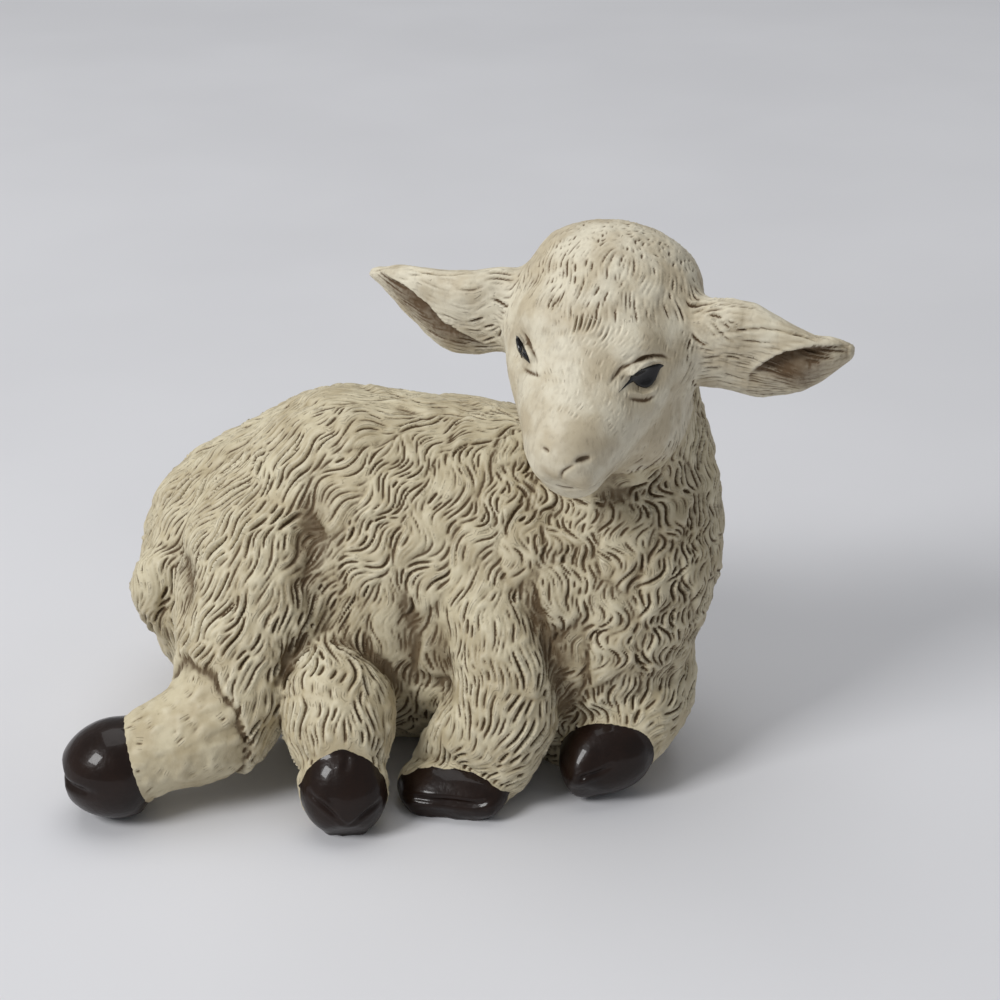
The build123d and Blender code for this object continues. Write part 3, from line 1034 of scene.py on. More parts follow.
EYE_CENTRES = {name: seen_at(*eye_spot(name, 0.5, 0.5)[0]) for name in EYE_EDGES}
EYE_AIMS = {name: Vector(NORMALS[TREE.find(centre)[1]]) for name, centre in EYE_CENTRES.items()}
for name, centre in EYE_CENTRES.items():
    swell(centre, SOCKET_SIZES[name], SOCKET_DEPTH)
NORMALS = set_points(POINTS)
TREE = find_tree(POINTS)
SIGHT = BVHTree.FromBMesh(clay)
EYE_BEADS = {name: eye_bead(name, aim) for name, aim in EYE_AIMS.items()}
print("eyes at", {name: [round(value, 1) for value in centre] for name, centre in EYE_CENTRES.items()})

# %% [markdown]
# ## Ears and hooves
# The ears are thick leaves with a hollow under an overhanging edge. The hooves are blunt, with the cleft
# between the two toes showing as a crease. The hollows are scooped and darkened with painted shade and the
# wash, and the rest is a few narrow strokes. Above the right hind foot the wool ends in a lip, so a step is
# pressed there along a plane, with a painted shadow under the lip. Broad strokes make the valleys between
# the body and the legs, and painted shade darkens them.

# %% Ears
LEFT_EAR_EDGE = ((750.0, 372.0), (764.0, 361.5), (783.0, 352.0), (798.0, 348.0), (813.0, 345.5),
                 (838.0, 345.0))
LEFT_EAR_LOW_SIDE = ((850, 344), (850, 362), (832, 380), (802, 396), (762, 402), (746, 392))
LEFT_EAR_CREASE = ((710.0, 335.0), (743.0, 330.0), (771.0, 329.0), (803.0, 337.0), (814.0, 339.0))
RIGHT_EAR_EDGE = ((381.0, 271.0), (396.0, 278.0), (410.0, 287.0), (431.0, 306.0), (443.0, 320.0),
                  (466.0, 333.5), (491.0, 346.0))
RIGHT_EAR_LOW_SIDE = ((500, 352), (477, 360), (452, 358), (436, 348), (400, 312), (374, 280))
RIGHT_EAR_CREASE = ((405.0, 268.5), (428.0, 273.0), (453.0, 274.0), (478.0, 273.0))
EAR_HOLLOWS = ((LEFT_EAR_EDGE, LEFT_EAR_LOW_SIDE, 1.6, 1.25),
               (RIGHT_EAR_EDGE, RIGHT_EAR_LOW_SIDE, 0.8, 0.75))
EAR_RIM_WIDTH = 0.35
EAR_RIM_RISE = 0.16
CREASE_WIDTH = 0.13
CREASE_DEPTH = 0.20
CREASE_LIP = 0.08
CREASE_ENDS = 0.4
HOLLOW_EDGE = 0.22
HOLLOW_ENDS = 0.9
# The hollow's darkening, painted shade under the edge together with the wash: its strength, its ends and its
# reach.
HOLLOW_WASH_AND_SHADE = 0.95
HOLLOW_SHADE_ENDS = 0.4
HOLLOW_SHADE_REACH = 4.2
TOWARDS_CAMERA = np.array(LOOK)[:, 2]


def scoop_ear(edge, low_side, reach, depth):
    """Scoops the front of an ear out under an overhanging edge, and darkens the hollow with painted shade
    and the wash.
    """
    columns, rows, _ = in_picture(POINTS)
    front = inside(columns, rows, edge + low_side) & (NORMALS @ TOWARDS_CAMERA > 0) & ON_EAR
    near = np.flatnonzero(front)
    away, share, _ = line_distance(POINTS[near], seen_line(edge))
    fade = tapered(share, HOLLOW_ENDS) * np.exp(-(away / reach) ** 2)
    CUT[near] = np.maximum(CUT[near], depth * (1 - np.exp(-(away / HOLLOW_EDGE) ** 2)) * fade)
    STAIN_AND_SHADE[near] = HOLLOW_WASH_AND_SHADE * tapered(share, HOLLOW_SHADE_ENDS) * np.exp(-(away / (HOLLOW_SHADE_REACH * reach)) ** 2)


SIGHT = BVHTree.FromBMesh(clay)
ON_EAR = owned("left_ear", "right_ear")
for edge, low_side, reach, depth in EAR_HOLLOWS:
    scoop_ear(edge, low_side, reach, depth)
    press(seen_line(edge), EAR_RIM_WIDTH, -EAR_RIM_RISE)
for crease in (LEFT_EAR_CREASE, RIGHT_EAR_CREASE):
    press(seen_line(crease), CREASE_WIDTH, CREASE_DEPTH, lip=CREASE_LIP, ends=CREASE_ENDS)

# %% Hooves
HOOF_CREASES = (
    (((308.0, 790.0), (326.0, 808.0), (346.0, 825.0)), 0.18, 0.26),
    (((380.0, 800.0), (366.0, 813.0), (348.0, 826.0)), 0.18, 0.26),
    (((346.0, 753.0), (347.0, 762.0), (346.0, 772.0)), 0.28, 0.16),
    (((405.0, 795.0), (425.0, 799.5), (450.0, 802.0), (476.0, 804.5), (494.0, 797.0)), 0.26, 0.34),
    (((564.0, 780.5), (583.0, 778.0), (599.0, 772.5), (612.0, 766.0)), 0.20, 0.30),
)
TOE_CLEFT = (76.0, 788.0)
TOE_CLEFT_FROM = math.radians(262)
TOE_CLEFT_TO = math.radians(110)
TOE_CLEFT_STEPS = 12
TOE_CLEFT_WIDTH = 0.34
TOE_CLEFT_DEPTH = 0.62
HOOF_LIP = 0.06


def toe_cleft():
    """A level line round the toe of the right hind hoof, from its front to its back."""
    hoof = POINTS[owned("right_hind_hoof")]
    middle = hoof.mean(axis=0)
    line = []
    for angle in np.linspace(TOE_CLEFT_FROM, TOE_CLEFT_TO, TOE_CLEFT_STEPS):
        spot = middle + np.ptp(hoof[:, 0]) * np.array((math.cos(angle), math.sin(angle), 0))
        spot[2] = seen_at(*TOE_CLEFT)[2]
        line.append(TREE.find(spot)[0])
    return along_line(line)


for pixels, width, depth in HOOF_CREASES:
    press(seen_line(pixels), width, depth, lip=HOOF_LIP)
press(toe_cleft(), TOE_CLEFT_WIDTH, TOE_CLEFT_DEPTH)

# %% The cuff of wool above the right hind foot
CUFF = ((180.0, 664.0), (212.0, 674.0), (243.0, 722.0))
CUFF_REACH = 9.0
CUFF_LIP = 0.42
CUFF_SINK = 0.28
CUFF_EDGE = 0.10
CUFF_WAVER = 0.4
CUFF_RUN = 1.6
FOOT_RUN = 1.2
# A painted shadow on the foot under the wool's lip: its strength, how far below the lip it lies, and its
# width.
CUFF_SHADOW = 0.45
CUFF_SHADOW_AT = 0.2
CUFF_SHADOW_WIDTH = 0.35


def drift(points, size, seed):
    """A slow noise over the skin, from -1 to 1."""
    offset = Vector((seed, seed * 2.3, seed * 3.7))
    return np.array([noise.noise(Vector(point) / size + offset) for point in points])


def press_cuff():
    """The wool ends in a rounded lip that stands over the smooth foot, with a painted shadow just under the
    lip.
    """
    centre, aim = plane_through(CUFF, Vector((1, 0, 0)))
    near = np.linalg.norm(POINTS - np.array(centre), axis=1) < CUFF_REACH
    near = np.flatnonzero(near & owned("right_hind_leg", "body"))
    above = (POINTS[near] - np.array(centre)) @ np.array(aim)
    above += CUFF_WAVER * drift(POINTS[near], size=2.0, seed=9.0)
    wool = 1 / (1 + np.exp(-above / CUFF_EDGE))
    LIFT[near] += CUFF_LIP * wool * np.exp(-np.clip(above, 0, None) / CUFF_RUN)
    CUT[near] += CUFF_SINK * (1 - wool) * np.exp(np.clip(above, None, 0) / FOOT_RUN)
    # The painted shadow under the lip.
    stain_and_shade = CUFF_SHADOW * np.exp(-((above + CUFF_SHADOW_AT) / CUFF_SHADOW_WIDTH) ** 2)
    STAIN_AND_SHADE[near] = np.maximum(STAIN_AND_SHADE[near], stain_and_shade)


press_cuff()

# %% Valleys between the body and the legs
VALLEY_ENDS = 0.5
# Each valley's last number is painted shade, between the body, the legs and the tail. The last row is the
# head's painted shadow under the chin.
VALLEYS = (
    (((324.0, 470.0), (314.0, 515.0), (308.0, 560.0), (312.0, 600.0), (319.0, 628.0)), 1.4, 0.75, 0.55),
    (((414.0, 588.0), (407.0, 636.0), (420.0, 690.0)), 1.2, 0.55, 0.55),
    (((424.0, 618.0), (440.0, 660.0), (444.0, 708.0)), 1.3, 0.20, 0.50),
    (((520.0, 596.0), (548.0, 640.0), (559.0, 684.0), (563.0, 716.0)), 1.1, 0.55, 0.60),
    (((312.0, 634.0), (291.0, 655.0), (281.0, 692.0)), 0.8, 0.45, 0.55),
    (((322.0, 634.0), (352.0, 645.0), (380.0, 664.0), (397.0, 690.0)), 0.8, 0.45, 0.55),
    (((180.0, 545.0), (187.0, 583.0), (181.0, 618.0)), 1.1, 0.70, 0.65),
    (((590.0, 500.0), (612.0, 497.0), (636.0, 482.0)), 1.6, 0.30, 0.30),
)
for pixels, width, depth, stain_and_shade in VALLEYS:
    press(seen_line(pixels), width, depth, ends=VALLEY_ENDS, stain_and_shade=stain_and_shade)
print("deepest of ears, hooves, cuff and valleys in mm:", round(settle().max(), 2))

# %% [markdown]
# ## Combing the wool
# The wool is carved, not grown: wavy lines a few millimetres long, cut side by side with a small gouge.
# They run along the back, turn down over the flank and fall straight on the breast. A few combing marks
# give a direction at places on the lamb, and every point takes a blend of the nearest
# ones. The ears are combed from root to tip.

# %% Combing marks
COMB_SHARES = (
    ((0.54, 0.66, 0.61), (-1.0, 0.0, -0.1)),
    ((0.38, 0.66, 0.61), (-1.0, -0.1, -0.1)),
    ((0.24, 0.66, 0.55), (-0.8, -0.2, -0.5)),
    ((0.11, 0.68, 0.38), (-0.2, -0.2, -1.0)),
    ((0.57, 0.38, 0.53), (-0.6, -0.4, -0.7)),
    ((0.44, 0.38, 0.50), (-0.6, -0.4, -0.7)),
    ((0.32, 0.40, 0.46), (-0.6, -0.4, -0.7)),
    ((0.54, 0.28, 0.34), (-0.2, -0.2, -1.0)),
    ((0.43, 0.29, 0.29), (-0.2, 0.0, -1.0)),
    ((0.25, 0.30, 0.36), (-0.4, -0.3, -0.9)),
    ((0.22, 0.23, 0.23), (-0.5, -0.2, -0.9)),
    ((0.16, 0.18, 0.13), (-1.0, -0.2, -0.3)),
    ((0.13, 0.53, 0.36), (-0.3, -0.5, -0.8)),
    ((0.72, 0.23, 0.42), (0.0, -0.1, -1.0)),
    ((0.82, 0.43, 0.38), (0.1, -0.1, -1.0)),
    ((0.71, 0.25, 0.21), (-0.1, 0.0, -1.0)),
    ((0.85, 0.50, 0.32), (0.0, 0.0, -1.0)),
    ((0.61, 0.38, 0.57), (-0.2, -0.4, -1.0)),
    ((0.82, 0.53, 0.59), (0.1, 0.0, -1.0)),
    ((0.72, 0.66, 0.69), (0.0, 0.4, -1.0)),
    ((0.54, 0.96, 0.38), (-0.3, 0.1, -1.0)),
    ((0.32, 0.98, 0.34), (-0.4, 0.1, -1.0)),
    ((0.69, 0.78, 0.38), (-0.2, 0.3, -1.0)),
    ((0.57, 0.25, 0.29), (0.1, -0.3, -1.0)),
    ((0.61, 0.20, 0.19), (-0.5, -0.3, -0.9)),
    ((0.55, 0.18, 0.11), (-0.8, -0.4, -0.6)),
    ((0.36, 0.23, 0.19), (0.0, -0.6, -0.8)),
    ((0.79, 0.35, 0.15), (0.1, -0.9, -0.3)),
    ((0.74, 0.28, 0.11), (-0.6, -0.7, -0.4)),
    ((0.72, 0.45, 0.97), (-0.2, -0.9, -0.4)),
    ((0.69, 0.30, 0.90), (-0.3, -0.6, -0.8)),
    ((0.74, 0.58, 0.92), (0.0, 0.4, -1.0)),
    ((0.83, 0.43, 0.71), (0.1, 0.2, -1.0)),
    ((0.59, 0.40, 0.71), (-0.1, 0.2, -1.0)),
    ((0.08, 0.53, 0.29), (0.0, -0.1, -1.0)),
)
COMB_BLUR = 3.0
EAR_COMB = np.array((1.0, -0.3, -0.15))


def combed(points, normals):
    """The combing direction at each point, flat on the skin."""
    marks = BOX_LOW + BOX_SIZE * np.array([place for place, _ in COMB_SHARES])
    aims = np.array([aim for _, aim in COMB_SHARES])
    aims /= np.linalg.norm(aims, axis=1)[:, None]
    away = ((points[:, None, :] - marks[None]) ** 2).sum(2)
    share = 1 / (away + COMB_BLUR ** 2) ** 2
    flow = share @ aims / share.sum(1)[:, None]
    flow[owned("right_ear")] = EAR_COMB * (-1, -1, -1)
    flow[owned("left_ear")] = EAR_COMB
    flow -= normals * (flow * normals).sum(1)[:, None]
    return flow / np.maximum(np.linalg.norm(flow, axis=1), WELD)[:, None]


WOOL_NORMALS = averaged(averaged(averaged(NORMALS)))
WOOL_NORMALS /= np.linalg.norm(WOOL_NORMALS, axis=1)[:, None]
COMB = combed(POINTS, WOOL_NORMALS)
EAR_ROOT = ear_band()
ROOT_BLEND = 40
for _ in range(ROOT_BLEND):
    COMB += (PULL * EAR_ROOT)[:, None] * (averaged(COMB) - COMB)
COMB -= WOOL_NORMALS * (COMB * WOOL_NORMALS).sum(1)[:, None]
COMB /= np.maximum(np.linalg.norm(COMB, axis=1), WELD)[:, None]
print("combing marks:", len(COMB_SHARES))

# %% [markdown]
# ## Locks
# Wool hangs together in locks. A few hundred places are scattered over the wool, and each point belongs
# to the nearest, measured so that a lock is longer along its combing direction than across it. Every lock
# has its own turn, its own wave and a rounded back, so the strands of one lock lie in parallel, and a
# valley runs between two locks.

# %% Regions
FACE_EDGE = ((560, 326), (590, 335), (606, 331), (622, 317), (648, 315), (670, 312), (683, 334), (681, 353),
             (684, 370), (688, 400), (687, 425), (681, 441), (662, 451), (648, 459), (633, 468), (621, 477),
             (600, 500), (540, 520), (470, 400), (500, 300))
FRINGE_ACROSS = 7
FRINGE_DOWN = 9
FACE_BACK = -8.0
FACE_TOP = 7.0
CROWN_TO = 4.8

IN_HEAD = in_head(POINTS)
ON_HEAD = owned("head")
ON_LEG = owned(*(leg + "_leg" for leg in HOOF_EDGES))
ON_CROWN = ON_HEAD & (IN_HEAD[:, 0] < CROWN_TO)


def bare_face():
    """Which points are the smooth face. The right side is taken as the mirror image of the left."""
    along, left, out = IN_HEAD.T
    places = np.array(CROWN) + np.column_stack((along, abs(left), out)) @ HEAD_AXES
    columns, rows, _ = in_picture(places)
    rough = drift(POINTS, size=1.2, seed=5.0)
    within = inside(columns + FRINGE_ACROSS * rough, rows + FRINGE_DOWN * rough, FACE_EDGE)
    return within & (out > FACE_BACK) & (along > FACE_TOP) & owned("head", "body")


ON_FACE = bare_face()
WOOLLY = ~(ON_FACE | HOOFED | GROUNDED)
print("points on the face:", int(ON_FACE.sum()))

# %% Scatter the locks
SEED = 7
LOCK_SPACING = 3.9
LOCK_RANGE = (0.75, 1.3)
LOCK_STRETCH = 0.5
LOCK_NEAR = 6
LOCK_VALLEY = 1.1
LOCK_RISE = 0.40
LOCK_SHINGLE = 0.22
LOCK_BLUR = 2
DICE = np.random.default_rng(SEED)


def scatter_locks():
    """The numbers of the points at which locks are centred."""
    free = WOOLLY.copy()
    chosen = []
    for start in DICE.permutation(np.flatnonzero(WOOLLY)):
        if free[start]:
            chosen.append(start)
            reach = LOCK_SPACING * DICE.uniform(*LOCK_RANGE)
            free[[index for _, index, _ in TREE.find_range(POINTS[start], reach)]] = False
    return np.array(chosen)


def nearest_locks(seeds):
    """The two nearest locks of each point, their distances, and the point's place along and across them."""
    tree = find_tree(POINTS[seeds])
    near = np.array([[index for _, index, _ in tree.find_n(point, LOCK_NEAR)] for point in POINTS])
    reach = POINTS[:, None, :] - POINTS[seeds][near]
    along = (reach * COMB[seeds][near]).sum(2)
    away = np.sqrt(np.maximum((reach ** 2).sum(2) - (1 - LOCK_STRETCH ** 2) * along ** 2, WELD))
    across = (reach * np.cross(WOOL_NORMALS[seeds], COMB[seeds])[near]).sum(2)
    order = np.argsort(away, axis=1)[:, :2]
    rows = np.arange(COUNT)[:, None]
    return [values[rows, order] for values in (near, away, along, across)]


LOCKS = scatter_locks()
LOCK_OF, LOCK_AWAY, LOCK_ALONG, LOCK_ACROSS = nearest_locks(LOCKS)
VALLEY = np.clip((LOCK_AWAY[:, 1] - LOCK_AWAY[:, 0]) / LOCK_VALLEY, 0, 1)
VALLEY = 1 - VALLEY * VALLEY * (3 - 2 * VALLEY)
print("locks:", len(LOCKS))

# %% Waves in the wool
WAVE_LENGTHS = (3.8, 6.5)
WAVE_TURN = 40
LOCK_TURN = 24
CLOSING_TURN = 13
WAVE_SIZES = (0.5, 1.2)
BREAST_TIGHTER = 0.35
BREAST_CURLIER = 0.45
LEG_WAVE = 0.7
HEAD_WAVE = 0.5
EAR_WAVE = 0.2
ROOT_WAVE = 0.7
STRAY_TURN = 12
CROWN_TURN = 80
BREAST_FROM = 0.50
BREAST_RUN = 0.12
RUMP_TO = 0.38

SHARE_X = (POINTS[:, 0] - BOX_LOW[0]) / BOX_SIZE[0]
BREAST = np.clip((SHARE_X - BREAST_FROM) / BREAST_RUN, 0, 1) * owned("body")
RUMP = np.clip((RUMP_TO - SHARE_X) / BREAST_RUN, 0, 1) * owned("body", "right_hind_leg", "tail")


def wave_angle():
    """How far each point's direction is turned from the combing direction."""
    count = len(LOCKS)
    length = DICE.uniform(*WAVE_LENGTHS, count)[LOCK_OF]
    start = DICE.uniform(0, 2 * math.pi, count)[LOCK_OF]
    size = DICE.uniform(*WAVE_SIZES, count)[LOCK_OF]
    turn = DICE.uniform(-1, 1, count)[LOCK_OF]
    length = length * (1 - BREAST_TIGHTER * BREAST[:, None])
    swing = size * WAVE_TURN * np.sin(LOCK_ALONG / length * 2 * math.pi + start) + turn * LOCK_TURN
    swing *= 1 + BREAST_CURLIER * BREAST[:, None]
    swing -= CLOSING_TURN * LOCK_ACROSS * np.clip(LOCK_ALONG / LOCK_SPACING + 0.5, 0, 1.2)
    share = 1 / (LOCK_AWAY + 0.3) ** 4
    angle = (swing * share).sum(1) / share.sum(1)
    angle[ON_LEG] *= LEG_WAVE
    angle[ON_HEAD] *= HEAD_WAVE
    angle *= np.where(ON_EAR, EAR_WAVE + ROOT_WAVE * EAR_ROOT, 1)
    angle += STRAY_TURN * drift(POINTS, size=2.0, seed=3.0)
    angle[ON_CROWN] += CROWN_TURN * drift(POINTS[ON_CROWN], size=1.1, seed=8.0)
    return np.radians(angle)


ANGLE = wave_angle()[:, None]
STRAND = COMB * np.cos(ANGLE) + np.cross(WOOL_NORMALS, COMB) * np.sin(ANGLE)
print("strand directions:", STRAND.shape)

# %% [markdown]
# ## Cutting the strands
# Each strand starts at a free point, follows the directions both ways, and stops when it is long enough
# or comes close to a strand that is already there. So the lines stay apart but lie in parallel, like real
# combing. Spacing, length and depth differ between the body, the legs, the crown, the ears and the smooth
# face.

# %% Strand sizes over the lamb
WOOL_FROM = {"right_hind": 10.5, "left_hind": 11.0, "right_fore": 12.0, "left_fore": 6.5}
BARE_TO = {"right_hind": 9.0, "left_hind": 2.5, "right_fore": 1.5, "left_fore": 1.5}
MUZZLE_FROM = 18.5
STRAND_SIZES = {
    "body": (0.52, 5.5, 0.11, 0.27),
    "rump": (0.56, 5.5, 0.13, 0.40),
    "breast": (0.54, 4.0, 0.12, 0.32),
    "leg": (0.66, 4.5, 0.13, 0.37),
    "foot": (0.9, 2.0, 0.12, 0.13),
    "ear": (0.33, 6.0, 0.09, 0.15),
    "ear root": (0.40, 3.2, 0.11, 0.22),
    "head": (0.31, 3.4, 0.085, 0.15),
    "crown": (0.29, 1.0, 0.085, 0.13),
    "face": (0.46, 1.0, 0.07, 0.045),
}
ROOT_FROM = 0.4
UNEVEN = 0.6


def strand_sizes():
    """Spacing, longest length, width and depth of the strands at each point. Spacing 0 leaves it bare."""
    patches = drift(POINTS, size=1.4, seed=13.0)
    sizes = np.tile(STRAND_SIZES["body"], (COUNT, 1))
    sizes[RUMP > 0.5] = STRAND_SIZES["rump"]
    sizes[BREAST > 0.5] = STRAND_SIZES["breast"]
    for leg, planes in BORDERS.items():
        away = np.linalg.norm(POINTS - np.array(planes[0][0]), axis=1)
        part = owned(leg + "_leg")
        sizes[part & (away < WOOL_FROM[leg])] = STRAND_SIZES["leg"]
        sizes[part & (away < BARE_TO[leg])] = STRAND_SIZES["foot"]
        sizes[part & (away < BARE_TO[leg]) & (patches > 0), 0] = 0
    sizes[ON_EAR] = STRAND_SIZES["ear"]
    sizes[EAR_ROOT * ON_EAR > ROOT_FROM] = STRAND_SIZES["ear root"]
    sizes[ON_HEAD] = STRAND_SIZES["head"]
    sizes[ON_CROWN] = STRAND_SIZES["crown"]
    sizes[ON_FACE] = STRAND_SIZES["face"]
    sizes[:, 0] *= 1 + UNEVEN * drift(POINTS, size=2.0, seed=4.0)
    sizes[(ON_FACE & (IN_HEAD[:, 0] > MUZZLE_FROM)) | HOOFED | GROUNDED, 0] = 0
    return sizes.T


GAP, LONGEST, WIDTH, DEPTH = strand_sizes()
BOLDNESS_RANGE = (0.6, 1.2)
OPENNESS_RANGE = (0.65, 1.2)
LOCK_BOLDNESS = DICE.uniform(*BOLDNESS_RANGE, len(LOCKS))
LOCK_OPENNESS = DICE.uniform(*OPENNESS_RANGE, len(LOCKS))
ON_BODY = WOOLLY & ~ON_HEAD & ~ON_EAR
DEPTH = np.where(ON_BODY, DEPTH * LOCK_BOLDNESS[LOCK_OF[:, 0]], DEPTH)
GAP = np.where(ON_BODY, GAP * LOCK_OPENNESS[LOCK_OF[:, 0]], GAP)

# %% Trace and cut
CROWDING = 0.5
SHARPEST_TURN = 0.3


def traced(start, reach, crowded):
    """The line that follows the strands from a point, in both directions."""
    halves = []
    for way in (1, -1):
        place = POINTS[start].copy()
        heading = STRAND[start] * way
        half = []
        for _ in range(int(reach / 2 / STROKE_STEP)):
            place = place + heading * STROKE_STEP
            near = TREE.find(place)[1]
            if GAP[near] == 0 or crowded[near] < GAP[near] * CROWDING:
                break
            normal = WOOL_NORMALS[near]
            place = place - normal * ((place - POINTS[near]) @ normal)
            turn = STRAND[near] * way
            if turn @ heading < SHARPEST_TURN:
                break
            heading = turn
            half.append(place)
        halves.append(half)
    return np.array(halves[1][::-1] + [POINTS[start]] + halves[0])


GAP_RANGE = (0.8, 1.3)
LENGTH_RANGE = (0.25, 1.0)
WIDTH_RANGE = (0.9, 1.3)
PLAIN_RANGE = (0.3, 0.9)
BOLD_RANGE = (1.0, 1.6)
LIP_ODDS = (0.75, 0.25)
PLAIN_STRANDS = 0.68
STRAND_ENDS = 0.6
LEAST = 4
EAR_LEAST = 9
HIGH_LIP = 0.55
LOW_LIP = 0.10
STRAND_REACH = 1.0
HAIR_REACH = 0.65
AWAY = np.full(COUNT, STRAND_REACH)
BOLD = np.zeros(COUNT)


def cut_strands():
    """Fills the wool with strands and presses each one. Returns how many were cut."""
    made = 0
    for start in DICE.permutation(np.flatnonzero(GAP > 0)):
        gap = GAP[start]
        if AWAY[start] < min(gap * DICE.uniform(*GAP_RANGE), STRAND_REACH):
            continue
        line = traced(start, LONGEST[start] * DICE.uniform(*LENGTH_RANGE), AWAY)
        if len(line) < (EAR_LEAST if ON_EAR[start] else LEAST):
            continue
        near = near_line(line, min(STRAND_REACH, max(gap * 1.3, HAIR_REACH)))
        away, share, offset = line_distance(POINTS[near], line)
        bold = DICE.uniform(*(PLAIN_RANGE if DICE.random() < PLAIN_STRANDS else BOLD_RANGE))
        taper = tapered(share, STRAND_ENDS)
        depth = DEPTH[start] * bold
        side = (offset * np.cross(WOOL_NORMALS[near], STRAND[near])).sum(1)
        side = side * DICE.choice((1, -1), p=LIP_ODDS)
        lip = depth * np.where(side > 0, HIGH_LIP, LOW_LIP)
        gouge(near, away, taper, WIDTH[start] * DICE.uniform(*WIDTH_RANGE), depth, lip)
        closer = away < AWAY[near]
        AWAY[near[closer]] = away[closer]
        BOLD[near[closer]] = (bold * taper)[closer] * min(MOST_BOLD, DEPTH[start] / FULL_DEPTH)
        made += 1
    return made


FULL_DEPTH = 0.24
MOST_BOLD = 1.5
WOOL_LUMPS = 0.16
BREAST_LUMPS = 0.22
FOOT_LUMPS = 0.28
HEAD_LUMPS = 0.10
LESSER_LOCKS = 0.35
LOCK_FADE = 12
SHINGLE_END = 0.6
LAST_ROUNDS = 1
LAST_PULL = 0.2
FULL_LOCKS = np.where(WOOLLY & ~ON_HEAD & ~ON_EAR & ~ON_LEG, 1.0, LESSER_LOCKS * WOOLLY)
for _ in range(LOCK_FADE):
    FULL_LOCKS = averaged(FULL_LOCKS[:, None])[:, 0]
SHINGLE = np.clip(LOCK_ALONG[:, 0] / LOCK_SPACING, -SHINGLE_END, SHINGLE_END)
locks = LOCK_RISE * (0.5 - VALLEY) + LOCK_SHINGLE * SHINGLE + WOOL_LUMPS * drift(POINTS, size=1.6, seed=6.0)
locks = FULL_LOCKS * (locks + BREAST * BREAST_LUMPS * drift(POINTS, size=1.3, seed=11.0))
locks += (FOOT_LUMPS * ON_LEG + HEAD_LUMPS * (ON_HEAD & ~ON_FACE)) * drift(POINTS, size=1.0, seed=12.0)
for _ in range(LOCK_BLUR):
    locks = averaged(locks[:, None])[:, 0]
LIFT += locks
print("strands cut:", cut_strands())
print("deepest strand in mm:", round(settle().max(), 2))
POINTS = smoothed(POINTS, LAST_ROUNDS, LAST_PULL)
NORMALS = set_points(POINTS)

# %% [markdown]
# ## The wash and the painted shade
# Thin brown paint was wiped over the casting and stayed in the hollows. A point is in a hollow when it
# lies below the mean of its surroundings, and that depth is kept on the mesh as a number for the shader.
# Painted shade in the valleys, the ear hollows, under the cuff and over the breast goes into the same
# number.

# %% Measure the hollows


def hollows(rounds):
    """How far each point lies below the smoothed skin."""
    return ((smoothed(POINTS, rounds, PULL) - POINTS) * NORMALS).sum(1)


FINE_HOLLOW = 0.09
WIDE_HOLLOW = 0.22
FINE_ROUNDS = 8
WIDE_ROUNDS = 60
RIDGE_ROUNDS = 10
FINE_WASH = 0.75
WIDE_WASH = 0.50
WASH_AND_SHADE = FINE_WASH * np.clip(hollows(FINE_ROUNDS) / FINE_HOLLOW, 0, 1)
WASH_AND_SHADE = WASH_AND_SHADE + WIDE_WASH * np.clip(hollows(WIDE_ROUNDS) / WIDE_HOLLOW, 0, 1)
VALLEY_STAIN = 0.22
# The breast is darkened all over as painted shade, where the head shades it.
BREAST_SHADE = 0.17
EAR_WASH = 0.75
WASH_AND_SHADE *= np.where(ON_EAR, EAR_WASH, 1)
# Besides the wash, this number takes the painted shade pressed in earlier and the breast's painted shade.
WASH_AND_SHADE = np.clip(WASH_AND_SHADE + STAIN_AND_SHADE + FULL_LOCKS * VALLEY_STAIN * VALLEY + BREAST_SHADE * BREAST, 0, 1)
RIDGE = np.clip(-hollows(RIDGE_ROUNDS) / FINE_HOLLOW, 0, 1)
print("mean wash:", round(float(WASH_AND_SHADE.mean()), 3))

# %% [markdown]
# ## Back into pieces
# The carved skin is cut up along the solids' borders again, one closed piece for each, so that each can
# be used and repainted by itself. Its rim turns inwards before the cap, so no cap comes near the surface,
# and it is shaded by the whole skin's normals, so no seam shows.

# %% Divide the clay
for name, values in (("wash", WASH_AND_SHADE), ("ridge", RIDGE), ("strand", AWAY), ("bold", BOLD)):
    layer = clay.verts.layers.float.new(name)
    for vertex, value in zip(clay.verts, values):
        vertex[layer] = value
CAP_SINK = 0.45
TRUE_LAYER = clay.verts.layers.float_vector.new("true_normal")
for vertex in clay.verts:
    vertex[TRUE_LAYER] = vertex.normal


def closed_piece(name):
    """One piece of the clay, capped where it met the others."""
    part = clay.copy()
    spare = [face for face in part.faces if face.index not in SHARES[name]]
    bmesh.ops.delete(part, geom=spare, context="FACES")
    rim = [edge for edge in part.edges if edge.is_boundary]
    wall = bmesh.ops.extrude_edge_only(part, edges=rim)["geom"]
    inward = part.verts.layers.float_vector["true_normal"]
    for vertex in wall:
        if isinstance(vertex, bmesh.types.BMVert):
            vertex.co -= vertex[inward] * CAP_SINK
    rim = [edge for edge in part.edges if edge.is_boundary]
    caps = bmesh.ops.holes_fill(part, edges=rim, sides=0)["faces"]
    bmesh.ops.triangulate(part, faces=caps)
    bmesh.ops.recalc_face_normals(part, faces=part.faces[:])
    for face in part.faces:
        face.smooth = True
    bmesh.ops.scale(part, vec=(MM, MM, MM), verts=part.verts[:])
    return part


def keep_normals(data):
    """Shades a piece by the normals of the whole skin, so that no seam shows where two pieces meet."""
    whole = data.attributes.get("true_normal")
    if whole:
        normals = np.zeros(len(data.vertices) * 3, np.float32)
        whole.data.foreach_get("vector", normals)
        data.attributes.remove(whole)
        data.normals_split_custom_set_from_vertices(normals.reshape(-1, 3))


